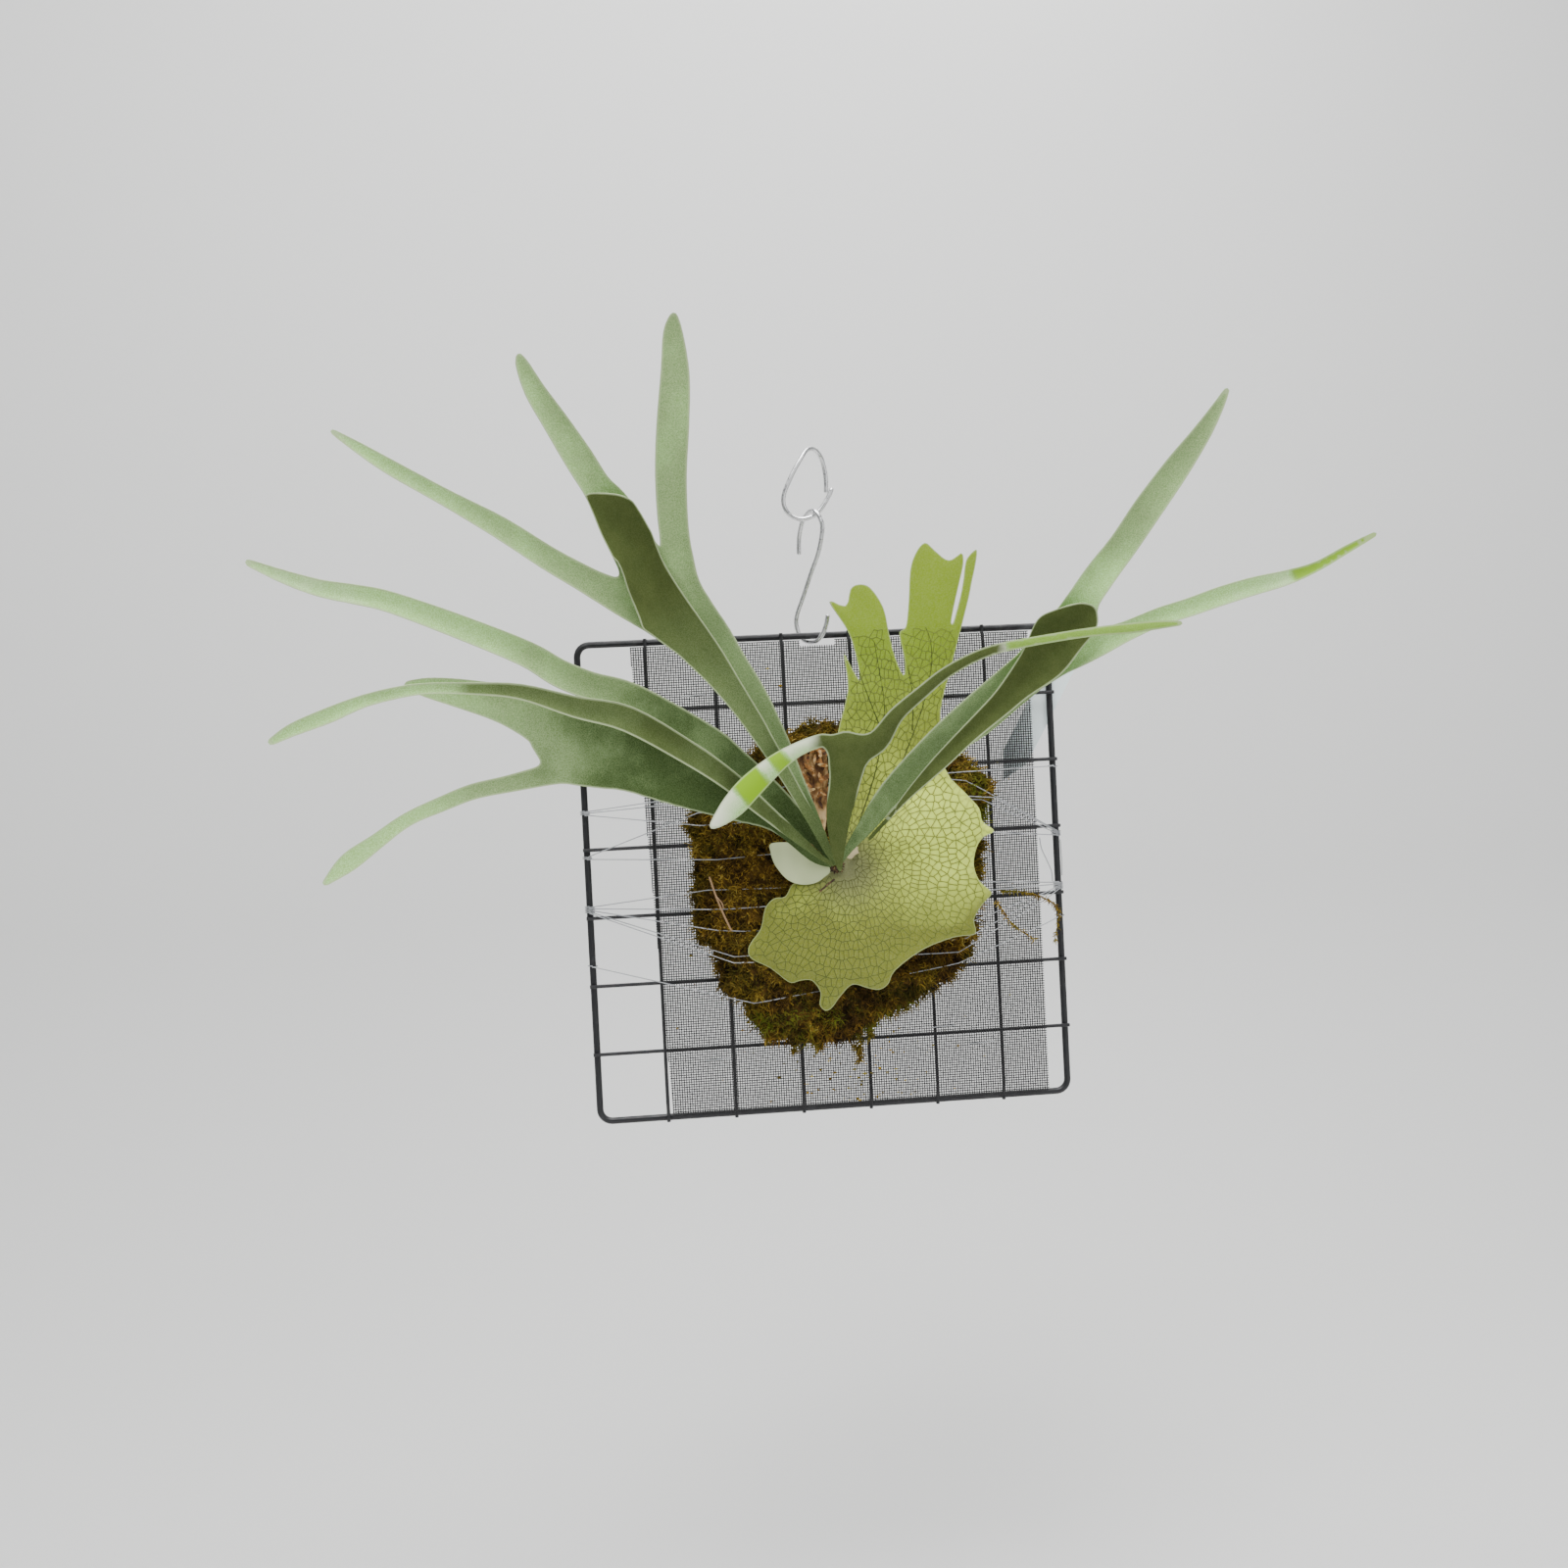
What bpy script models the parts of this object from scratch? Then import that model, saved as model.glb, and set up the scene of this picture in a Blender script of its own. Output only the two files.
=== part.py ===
"""Staghorn fern on a moss pad, tied with fishing line to a square wire grid panel that hangs from two
wire hooks. Run with: blender --background --python part.py

Lengths are in millimetres in the tables and are turned into metres when an object is made. The panel's own
frame has its origin at the middle of the top rod: X to the right, Y to the back, Z up. The whole part is
placed so that the world origin is the hanging point, the top of the inside of the rail hook's upper bend."""

import math

import bmesh
import bpy
from mathutils import Vector
from mathutils.geometry import delaunay_2d_cdt

MM = 0.001
GAP = 0.3  # running gap between neighbours

# Panel: a 14 inch square of seven cells
PANEL = 355.6
HALF = PANEL / 2
CELLS = 7
PITCH = PANEL / CELLS
ROD_R = 2.5
ROD_BEND_R = 9.0
WIRE_R = 1.35
WIRE_Y = -(ROD_R + WIRE_R + GAP)  # horizontal wires, in front of the side rods
UPRIGHT_Y = WIRE_Y - 2 * WIRE_R - GAP  # upright wires, in front of the horizontal ones
JOGGLE = 10.0

# Mesh sheet in front of the grid
MESH_T = 0.5
MESH_BACK = UPRIGHT_Y - WIRE_R - GAP
MESH_FRONT = MESH_BACK - MESH_T
MESH_TOP = -4.0
MESH_BOTTOM = -354.0
MESH_LEFT = (-138.0, -123.0)  # at the top and at the bottom
MESH_RIGHT = 161.0
NOTCH = (-22.0, 20.0, -18.0)  # room for the hook: left, right, bottom

# Hooks
HOOK_R = 1.75
HANG = (8.0, 12.0, 141.2)  # the hanging point, in the panel's frame
U_WIRE = (3.0, 0.0, 89.6)  # where the S hook hangs on the rail hook

# Fern
BUD = (3.0, -170.0)
BUD_R = 7.0
FROND_RISE = 0.25  # how much a frond comes forward for each millimetre away from the bud
FROND_T = 1.7
SHIELD_T = 1.4
MOSS_BACK = MESH_FRONT - GAP
MOSS_H = 23.0
MOSS_RIM = 3.0
MOSS_SHOULDER = 32.0  # distance from the rim over which the pad reaches its full height
ROOT_CENTRE = (5.0, -180.0)
ROOT_R = 58.0
ROOT_H = 14.0

# Fishing line
LINE_R = 0.4
WRAP_R = 3.8
WRAP_STEP = 1.1
STRAND_STEPS = 16

# Label
LABEL_T = 0.8
LABEL_W = 21.0
LABEL_L = 125.0
LABEL_POINT = 20.0
LABEL_TIP = (140.0, -116.0)
LABEL_AXIS = (0.5, math.sqrt(0.75))
LABEL_Y = ROD_R + GAP

# Outlines, x and z in the panel's frame
MOSS_OUTLINE = [
    (-103, -131), (-84, -112), (-62, -92), (-40, -78), (-24, -73), (-6, -65), (18, -67), (50, -78),
    (92, -88), (116, -104), (127, -120), (119, -142), (117, -174), (112, -206), (106, -238),
    (89, -260), (53, -281), (28, -292), (5, -305), (-35, -301), (-52, -298), (-68, -273), (-85, -258),
    (-84, -238), (-103, -210), (-99, -163),
]
SHIELD_OUTLINE = [
    (10, -75), (16, -55), (19, -40), (17, -18), (22, -28), (28, -38), (24, -12), (18, 3), (8, 20), (20, 16),
    (24, 28), (30, 31), (38, 28), (47, 13), (50, -4), (54, -22), (60, -36), (61, -24), (58, -5), (63, -1),
    (66, 18), (68, 39), (72, 51), (79, 59), (86, 53), (93, 47), (98, 46), (108, 51), (117, 52), (108, 26),
    (99, -12), (94, -34), (88, -52), (85, -70), (87, -105), (101, -123), (111, -135), (113, -145),
    (122, -152), (113, -156), (107, -164), (104, -176), (108, -188), (117, -197), (110, -204), (102, -215),
    (103, -226), (86, -227), (63, -234), (42, -248), (37, -258), (30, -262), (21, -260), (11, -257),
    (2, -266), (-4, -274), (-9, -276), (-13, -271), (-12, -262), (-18, -253), (-27, -253), (-34, -254),
    (-47, -243), (-61, -235), (-62, -226), (-53, -214), (-49, -199), (-42, -192), (-34, -191), (-28, -182),
    (-14, -181), (3, -181), (12, -176), (15, -167), (9, -157), (4, -140), (5, -108),
]
YOUNG_SHIELD = [
    (-42, -154), (-36, -169), (-26, -181), (-18, -184), (-9, -180), (-8, -172), (-16, -162), (-30, -153),
]
DRY_SHIELD = [
    (-22, -88), (-12, -80), (0, -84), (1, -110), (-1, -135), (-5, -152), (-14, -157), (-22, -148), (-20, -118),
]

# Fertile fronds. A branch is a row of stations (x, z, half width); "at" is the depth at the bud, and "cup"
# how far the margins stand forward, as a share of the half width.
FRONDS = {
    "fertile_frond_upper_left": {
        "at": 53.0,
        "cup": 0.30,
        "branches": [
            [(-4, -157, 2.6), (-13, -136, 4.5), (-26, -108, 7), (-38, -83, 10), (-55, -52, 13.3), (-70, -30, 15.4),
             (-86, -8, 19), (-104, 14, 20)],
            [(-80, -14, 10), (-91, 19, 8), (-97, 41, 9), (-100, 62, 9.6), (-100, 94, 10), (-97, 125, 10.2),
             (-94, 155, 9), (-94, 179, 6.2), (-93, 189, 2.5)],
            [(-98, 6, 18), (-118, 30, 15.5), (-125, 45, 14.5), (-133, 62, 14), (-140, 76, 12), (-148, 88, 9.4),
             (-158, 105, 9.3), (-171, 127, 8), (-182, 145, 6.5), (-188, 159, 4.4), (-190, 165, 2)],
            [(-98, 0, 16), (-130, 15, 12), (-148, 24, 9.4), (-162, 32, 8.2), (-182, 44, 7.5), (-210, 63, 6.9),
             (-241, 81, 5.2), (-272, 99, 4.6), (-289, 110, 3.4), (-304, 120, 1.6)],
        ],
    },
    "fertile_frond_left": {
        "at": 49.5,
        "cup": 0.35,
        "branches": [
            [(-9, -155, 2.6), (-34, -125, 8), (-67, -91, 8.5), (-85, -75, 8.5), (-132, -47, 9), (-160, -38, 9),
             (-180, -29, 9), (-200, -16, 8.3), (-240, 2, 7.5), (-280, 18, 6.5), (-300, 23, 6), (-320, 27, 5.2),
             (-340, 34, 4), (-360, 43, 2)],
        ],
    },
    "fertile_frond_left_folded": {
        "at": 56.0,
        "cup": 0.35,
        "branches": [
            [(-12, -160, 2.2), (-50, -127, 4.5), (-73, -106, 5), (-100, -86, 5.5), (-137, -62, 7.5), (-170, -52, 7),
             (-204, -41, 5), (-234, -38, 3.8), (-260, -37, 3.4), (-279, -39, 3.6), (-300, -44, 3.8),
             (-320, -52, 4.6), (-341, -60, 3.8), (-354, -67, 2)],
        ],
    },
    "fertile_frond_lower_left": {
        "at": 46.5,
        "cup": 0.10,
        "branches": [
            [(-14, -163, 3), (-39, -137, 6.5), (-68, -120, 13.5), (-103, -103, 19), (-141, -83, 25), (-171, -74, 26),
             (-188, -62, 18), (-205, -52, 15), (-222, -46, 12), (-244, -40, 9.3), (-262, -36, 6.5), (-274, -34, 3)],
            [(-150, -84, 22), (-171, -89, 14), (-186, -94, 8), (-216, -100, 5.7), (-239, -104, 5.2),
             (-259, -111, 4.9), (-281, -120, 4.4), (-300, -133, 5), (-317, -145, 6), (-331, -157, 2)],
        ],
    },
    "fertile_frond_middle": {
        "at": 74.0,
        "cup": -0.25,
        "branches": [
            [(2, -158, 4.5), (3, -134, 8.5), (8, -109, 11), (10, -93, 13), (9, -84, 8)],
            [(12, -90, 9), (-4, -82, 5), (-11, -82, 4.6), (-25, -87, 5), (-40, -96, 6.8), (-57, -110, 8.6),
             (-69, -122, 8.2), (-79, -131, 5), (-84, -135, 2.4)],
            [(12, -90, 10), (30, -84, 8), (43, -67, 5.5), (60, -53, 4.6), (79, -39, 4), (104, -28, 3.4),
             (133, -23, 3), (171, -19, 3), (198, -18, 3.4), (217, -17, 2.6), (227, -17, 1.6)],
        ],
    },
    "fertile_frond_right": {
        "at": 51.0,
        "cup": 0.35,
        "branches": [
            [(13, -157, 3), (24, -143, 5.5), (43, -119, 9), (76, -88, 11.5), (99, -71, 14), (120, -54, 14),
             (145, -34, 14), (160, -18, 13), (170, -6, 9)],
            [(158, -18, 13), (170, 2, 10.6), (182, 19, 10.2), (197, 38, 9.5), (212, 60, 9.5), (230, 84, 8.5),
             (244, 103, 6.3), (255, 120, 3.8), (261, 131, 1.8)],
            [(146, -34, 14), (165, -29, 12), (181, -25, 9), (200, -18, 6.6), (221, -10, 6), (240, -5, 6),
             (260, 1, 6.2), (280, 6, 5.8), (300, 10, 4.8), (319, 16, 3.2), (338, 26, 2.6), (354, 34, 1.6)],
        ],
    },
}
WEB = 6.0  # rounding where the branches of a frond part
FROND_CELL = 11.0
EDGE_STEP = 9.0

# Line strands: left wrap and place on it, left edge of the moss, right edge of the moss, right wrap and place
# on it, layer
POSTS = {
    "left_1": (-HALF, -125.0, 3), "left_2": (-HALF, -158.5, 2), "left_3": (-HALF, -197.0, 5),
    "left_4": (-HALF, -239.0, 1), "right_1": (HALF, -107.0, 1), "right_2": (HALF, -158.0, 4),
    "right_3": (HALF, -198.0, 5), "right_4": (HALF, -221.0, 1),
}
STRANDS = [
    ("left_1", 0, (-137, -116), (94, -108), "right_1", 0, 0),
    ("left_1", 1, (-124, -121), (98, -111.5), "right_2", 0, 0),
    ("left_1", 2, (-87, -138), (111, -127), "right_2", 2, 0),
    ("left_2", 0, (-108, -128), (121, -126), "right_2", 1, 2),
    ("left_2", 1, (-131, -165), (130, -152), "right_2", 3, 0),
    ("left_3", 0, (-104, -184), (128, -189), "right_3", 0, 0),
    ("left_3", 1, (-60, -199), (128, -196), "right_3", 1, 1),
    ("left_3", 2, (-77, -215), (107, -221), "right_3", 2, 0),
    ("left_3", 3, (-85, -234), (111, -230), "right_3", 3, 0),
    ("left_3", 4, (-85, -238), (104, -240), "right_3", 4, 1),
    ("left_4", 0, (-71, -270), (103, -247), "right_4", 0, 0),
]
MESH_TIES = [(-93, -42), (-88, -313), (111, -313), (81, -299)]
TIE_L = 18.0

COLOURS = {
    "black_coat": ((0.025, 0.025, 0.028, 1), 0.45, 0.2),
    "mesh": ((0.03, 0.03, 0.033, 1), 0.6, 0.0),
    "zinc": ((0.75, 0.76, 0.78, 1), 0.25, 1.0),
    "frond": ((0.30, 0.42, 0.22, 1), 0.7, 0.0),
    "shield": ((0.55, 0.60, 0.28, 1), 0.6, 0.0),
    "dry": ((0.55, 0.40, 0.28, 1), 0.8, 0.0),
    "moss": ((0.22, 0.15, 0.04, 1), 0.95, 0.0),
    "bud": ((0.10, 0.07, 0.04, 1), 0.9, 0.0),
    "line": ((0.45, 0.46, 0.48, 1), 0.3, 0.0),
    "label": ((0.80, 0.86, 0.88, 1), 0.4, 0.0),
}


def clear_scene():
    for obj in list(bpy.data.objects):
        bpy.data.objects.remove(obj, do_unlink=True)


def material(name):
    found = bpy.data.materials.get(name)
    if found:
        return found
    colour, roughness, metallic = COLOURS[name]
    made = bpy.data.materials.new(name)
    made.use_nodes = True
    shader = made.node_tree.nodes["Principled BSDF"]
    shader.inputs["Base Color"].default_value = colour
    shader.inputs["Roughness"].default_value = roughness
    shader.inputs["Metallic"].default_value = metallic
    return made


def add(name, data, parent, finish):
    obj = bpy.data.objects.new(name, data)
    bpy.context.collection.objects.link(obj)
    obj.parent = parent
    obj.data.materials.append(material(finish))
    return obj


def place(name, at, parent=None):
    """An empty that a moving group hangs on; at is in the parent's frame, in millimetres."""
    empty = bpy.data.objects.new(name, None)
    bpy.context.collection.objects.link(empty)
    empty.location = [v * MM for v in at]
    empty.parent = parent
    return empty


def smooth_path(points, steps, closed=False):
    """Points on a Catmull-Rom curve through the given ones, steps per span, in any number of dimensions."""
    count = len(points)
    spans = count if closed else count - 1
    out = []
    for i in range(spans):
        if closed:
            p0, p1, p2, p3 = (points[(i + k) % count] for k in (-1, 0, 1, 2))
        else:
            p0, p1, p2, p3 = (points[min(max(i + k, 0), count - 1)] for k in (-1, 0, 1, 2))
        for s in range(steps):
            t = s / steps
            out.append(tuple(
                0.5 * (2 * b + (c - a) * t + (2 * a - 5 * b + 4 * c - d) * t * t + (3 * b - a - 3 * c + d) * t ** 3)
                for a, b, c, d in zip(p0, p1, p2, p3)
            ))
    if not closed:
        out.append(tuple(float(v) for v in points[-1]))
    return out


def tube(name, points, radius, parent, finish, sides=2, closed=False, offset=(0, 0, 0)):
    curve = bpy.data.curves.new(name, "CURVE")
    curve.dimensions = "3D"
    curve.bevel_depth = radius * MM
    curve.bevel_resolution = sides
    curve.use_fill_caps = not closed
    spline = curve.splines.new("POLY")
    spline.points.add(len(points) - 1)
    for point, at in zip(spline.points, points):
        point.co = [(v - o) * MM for v, o in zip(at, offset)] + [1.0]
    spline.use_cyclic_u = closed
    return add(name, curve, parent, finish)


def solid(name, front, back, triangles, rim, parent, finish, offset=(0, 0, 0)):
    """A closed solid between two sheets with the same triangles; rim is the loop of border vertices."""
    mesh = bpy.data.meshes.new(name)
    bm = bmesh.new()
    a = [bm.verts.new([(v - o) * MM for v, o in zip(p, offset)]) for p in front]
    b = [bm.verts.new([(v - o) * MM for v, o in zip(p, offset)]) for p in back]
    for i, j, k in triangles:
        bm.faces.new((a[i], a[j], a[k]))
        bm.faces.new((b[k], b[j], b[i]))
    for i, j in zip(rim, rim[1:] + rim[:1]):
        bm.faces.new((a[j], a[i], b[i], b[j]))
    bmesh.ops.recalc_face_normals(bm, faces=bm.faces)
    bmesh.ops.triangulate(bm, faces=bm.faces)
    bm.to_mesh(mesh)
    bm.free()
    mesh.shade_smooth()
    mesh.set_sharp_from_angle(angle=math.radians(50))
    return add(name, mesh, parent, finish)


def segment_distance(x, z, a, b):
    """Distance from a point to a capsule whose half width changes from a to b."""
    dx, dz = b[0] - a[0], b[1] - a[1]
    length = dx * dx + dz * dz
    t = 0.0 if length == 0 else min(max(((x - a[0]) * dx + (z - a[1]) * dz) / length, 0), 1)
    return math.hypot(x - a[0] - t * dx, z - a[1] - t * dz) - a[2] - t * (b[2] - a[2])


def frond_field(branches):
    """Signed distance to the frond's flat shape: below zero inside, with rounded webs between branches."""
    paths = [smooth_path(branch, 3) for branch in branches]

    def field(x, z):
        best = None
        for path in paths:
            near = min(segment_distance(x, z, a, b) for a, b in zip(path, path[1:]))
            if best is None:
                best = near
            else:
                blend = max(WEB - abs(best - near), 0) / WEB
                best = min(best, near) - blend * blend * WEB / 4
        return best

    return field


def trace(field, low, high, step):
    """The loop where the field is zero, by marching squares over a box, as a list of points."""
    columns = int((high[0] - low[0]) / step) + 2
    rows = int((high[1] - low[1]) / step) + 2
    value = [[field(low[0] + i * step, low[1] + j * step) for j in range(rows)] for i in range(columns)]
    point, links = {}, {}

    def crossing(i, j, across):
        key = (i, j, across)
        if key not in point:
            a = value[i][j]
            b = value[i + 1][j] if across else value[i][j + 1]
            t = a / (a - b)
            point[key] = (low[0] + (i + t * across) * step, low[1] + (j + t * (not across)) * step)
        return key

    for i in range(columns - 1):
        for j in range(rows - 1):
            inside = [value[i][j] < 0, value[i + 1][j] < 0, value[i + 1][j + 1] < 0, value[i][j + 1] < 0]
            if all(inside) or not any(inside):
                continue
            sides = [(i, j, True), (i + 1, j, False), (i, j + 1, True), (i, j, False)]
            cut = [crossing(*sides[k]) for k in range(4) if inside[k] != inside[(k + 1) % 4]]
            for a, b in zip(cut[::2], cut[1::2]):
                links.setdefault(a, []).append(b)
                links.setdefault(b, []).append(a)
    loops, left = [], set(links)
    while left:
        start = min(left)
        loop, here, last = [start], start, None
        while True:
            onward = [k for k in links[here] if k != last]
            if not onward or onward[0] == start:
                break
            last, here = here, onward[0]
            loop.append(here)
        left -= set(loop)
        loops.append([point[k] for k in loop])
    return max(loops, key=len)


def resample(loop, step):
    """The loop with points about step apart, keeping the sharpest tips."""
    size = len(loop)
    lengths = [math.dist(loop[i], loop[(i + 1) % size]) for i in range(size)]
    total = sum(lengths)
    count = max(8, round(total / step))
    out, along, i = [], 0.0, 0
    for k in range(count):
        target = total * k / count
        while along + lengths[i] < target:
            along += lengths[i]
            i += 1
        t = (target - along) / lengths[i]
        a, b = loop[i], loop[(i + 1) % size]
        out.append((a[0] + t * (b[0] - a[0]), a[1] + t * (b[1] - a[1])))
    return out


def inside_loop(x, z, loop):
    inside = False
    for (ax, az), (bx, bz) in zip(loop, loop[1:] + loop[:1]):
        if (az > z) != (bz > z) and x < ax + (z - az) / (bz - az) * (bx - ax):
            inside = not inside
    return inside


def loop_distance(x, z, loop):
    return min(segment_distance(x, z, (*a, 0), (*b, 0)) for a, b in zip(loop, loop[1:] + loop[:1]))


def fill(loop, cell):
    """Triangles that fill a loop, with inner points on a lattice: (points, triangles, rim)."""
    xs = [p[0] for p in loop]
    zs = [p[1] for p in loop]
    points = [Vector(p) for p in loop]
    row = 0
    z = min(zs) + cell / 2
    while z < max(zs):
        x = min(xs) + cell * (0.5 if row % 2 else 1.0)
        while x < max(xs):
            if inside_loop(x, z, loop) and loop_distance(x, z, loop) > cell * 0.45:
                points.append(Vector((x, z)))
            x += cell
        z += cell * 0.866
        row += 1
    size = len(loop)
    found = delaunay_2d_cdt(points, [], [list(range(size))], 1, 1e-5)
    vertices, faces, origins = found[0], found[2], found[3]
    place_of = {o: i for i, source in enumerate(origins) for o in source}
    return [tuple(v) for v in vertices], [tuple(f) for f in faces], [place_of[i] for i in range(size)]


def normals_of(points, triangles):
    """Vertex normals that point towards +Y."""
    out = [Vector((0, 0, 0)) for _ in points]
    for i, j, k in triangles:
        a, b, c = (Vector(points[v]) for v in (i, j, k))
        normal = (b - a).cross(c - a)
        if normal.y < 0:
            normal = -normal
        for v in (i, j, k):
            out[v] += normal
    return [n.normalized() for n in out]


def leaf(name, loop, cell, depth, thickness, parent, finish):
    """A thin curved leaf whose flat outline is loop and whose front lies at depth(x, z)."""
    flat, triangles, rim = fill(loop, cell)
    front = [(x, depth(x, z), z) for x, z in flat]
    away = normals_of(front, triangles)
    back = [tuple(v + thickness * n for v, n in zip(p, normal)) for p, normal in zip(front, away)]
    return solid(name, front, back, triangles, rim, parent, finish)


def frond_depth(shape, field):
    """The depth of a frond's front: it rises away from the bud, and its margins stand forward by the cup."""
    stations = [s for branch in shape["branches"] for s in smooth_path(branch, 3)]

    def depth(x, z):
        reach = math.hypot(x - BUD[0], z - BUD[1])
        weights = [math.exp(-math.hypot(x - s[0], z - s[1]) / 6) for s in stations]
        width = sum(w * s[2] for w, s in zip(weights, stations)) / sum(weights)
        edge = min(max(1 + field(x, z) / max(width, 1), 0), 1)
        return -shape["at"] - FROND_RISE * reach - shape["cup"] * width * edge * edge

    return depth


def fertile_frond(name, shape, parent):
    field = frond_field(shape["branches"])
    stations = [s for branch in shape["branches"] for s in branch]
    low = [min(s[k] - s[2] for s in stations) - 6 for k in (0, 1)]
    high = [max(s[k] + s[2] for s in stations) + 6 for k in (0, 1)]
    loop = resample(trace(field, low, high, 3.0), EDGE_STEP)
    return leaf(name, loop, FROND_CELL, frond_depth(shape, field), FROND_T, parent, "frond")


def moss_front(loop):
    """Depth of the moss pad's front, a low dome that drops to its rim."""

    def depth(x, z):
        if not inside_loop(x, z, loop):
            return MOSS_BACK - MOSS_RIM
        share = min(loop_distance(x, z, loop) / MOSS_SHOULDER, 1)
        return MOSS_BACK - MOSS_RIM - (MOSS_H - MOSS_RIM) * math.sqrt(1 - (1 - share) ** 2)

    return depth


def root_front(x, z, shrink=0.0):
    """Depth of the pocket that holds the root ball; shrink leaves the gap round the ball."""
    share = math.hypot(x - ROOT_CENTRE[0], z - ROOT_CENTRE[1]) / ROOT_R
    return MOSS_BACK - max(ROOT_H * math.sqrt(max(1 - share * share, 0)) - shrink, 0)


def moss_pad(parent, loop, front_depth):
    flat, triangles, rim = fill(resample(loop, 12), 12.0)
    front = [(x, front_depth(x, z), z) for x, z in flat]
    for i in rim:
        front[i] = (front[i][0], MOSS_BACK - MOSS_RIM, front[i][2])
    back = [(x, root_front(x, z), z) for x, z in flat]
    return solid("moss_pad", front, back, triangles, rim, parent, "moss")


def root_ball(parent):
    radius = ROOT_R * 0.86
    loop = [
        (ROOT_CENTRE[0] + radius * math.cos(a * math.tau / 24), ROOT_CENTRE[1] + radius * math.sin(a * math.tau / 24))
        for a in range(24)
    ]
    flat, triangles, rim = fill(loop, 14.0)
    front = [(x, root_front(x, z, 2.5), z) for x, z in flat]
    back = [(x, MOSS_BACK, z) for x, z in flat]
    return solid("root_ball", front, back, triangles, rim, parent, "bud")


def bud(parent, y_front, y_back):
    mesh = bpy.data.meshes.new("rhizome_bud")
    bm = bmesh.new()
    bmesh.ops.create_uvsphere(bm, u_segments=16, v_segments=10, radius=1.0)
    for v in bm.verts:
        v.co = Vector((
            (BUD[0] + v.co.x * BUD_R) * MM,
            ((y_front + y_back) / 2 + v.co.z * (y_back - y_front) / 2) * MM,
            (BUD[1] - 2 + v.co.y * BUD_R) * MM,
        ))
    bm.normal_update()
    bmesh.ops.recalc_face_normals(bm, faces=bm.faces)
    bm.to_mesh(mesh)
    bm.free()
    mesh.shade_smooth()
    return add("rhizome_bud", mesh, parent, "bud")


def shield_depth(loop, level, dome, curl, curl_width, top):
    """A domed shield whose margin curls back; above top the crown stays flat."""

    def depth(x, z):
        reach = math.hypot(x - 25, z + 190) / 100
        margin = loop_distance(x, z, loop) if inside_loop(x, z, loop) else 0.0
        share = max(1 - margin / curl_width, 0)
        fade = min(max((top - z) / 40, 0), 1)
        outer = min(max((reach - 0.5) / 0.3, 0), 1)
        return -level - dome * max(1 - reach * reach, 0) * fade + curl * share * share * fade * outer

    return depth


def shields(parent):
    outline = smooth_path(SHIELD_OUTLINE, 1, closed=True)
    depth = shield_depth(outline, 40.8, 5.0, 3.5, 16.0, top=-115)
    leaf("main_shield_frond", outline, 12.0, depth, SHIELD_T, parent, "shield")
    young = smooth_path(YOUNG_SHIELD, 2, closed=True)
    leaf("young_shield_frond", young, 8.0, lambda x, z: -47.6, SHIELD_T, parent, "shield")
    dry = smooth_path(DRY_SHIELD, 2, closed=True)
    leaf("dry_shield_frond", dry, 10.0, lambda x, z: -39.3, 0.8, parent, "dry")


def perimeter_rod(parent):
    points = []
    inner = HALF - ROD_BEND_R
    for sx, sz, start in ((1, 1, 0), (-1, 1, 90), (-1, -1, 180), (1, -1, 270)):
        for k in range(7):
            a = math.radians(start + 15 * k)
            points.append((sx * inner + ROD_BEND_R * math.cos(a), 0.0,
                           -HALF + sz * inner + ROD_BEND_R * math.sin(a)))
    return tube("perimeter_rod", points, ROD_R, parent, "black_coat", sides=4, closed=True)


def grid_wires(parent):
    reach = HALF + ROD_R
    for k in range(1, CELLS):
        z = -k * PITCH
        tube(f"horizontal_wire_{k}", [(-reach, WIRE_Y, z), (reach, WIRE_Y, z)], WIRE_R, parent, "black_coat")
    for k in range(1, CELLS):
        x = -HALF + k * PITCH
        route = [
            (x, WIRE_Y, ROD_R), (x, WIRE_Y, -ROD_R), (x, UPRIGHT_Y, -ROD_R - JOGGLE),
            (x, UPRIGHT_Y, -PANEL + ROD_R + JOGGLE), (x, WIRE_Y, -PANEL + ROD_R), (x, WIRE_Y, -PANEL - ROD_R),
        ]
        tube(f"upright_wire_{k}", route, WIRE_R, parent, "black_coat")


def mesh_sheet(parent):
    left, right, bottom = NOTCH
    loop = [
        (MESH_LEFT[0], MESH_TOP), (left, MESH_TOP), (left, bottom), (right, bottom), (right, MESH_TOP),
        (MESH_RIGHT, MESH_TOP), (MESH_RIGHT, MESH_BOTTOM), (MESH_LEFT[1], MESH_BOTTOM),
    ]
    flat, triangles, rim = fill(loop, 400.0)
    front = [(x, MESH_FRONT, z) for x, z in flat]
    back = [(x, MESH_BACK, z) for x, z in flat]
    solid("mesh_sheet", front, back, triangles, rim, parent, "mesh")
    for k, (x, z) in enumerate(MESH_TIES, 1):
        y = MESH_FRONT - GAP - LINE_R
        tube(f"mesh_tie_{k}", [(x - TIE_L / 2, y, z), (x + TIE_L / 2, y, z + 0.8)], LINE_R, parent, "line")


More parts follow.
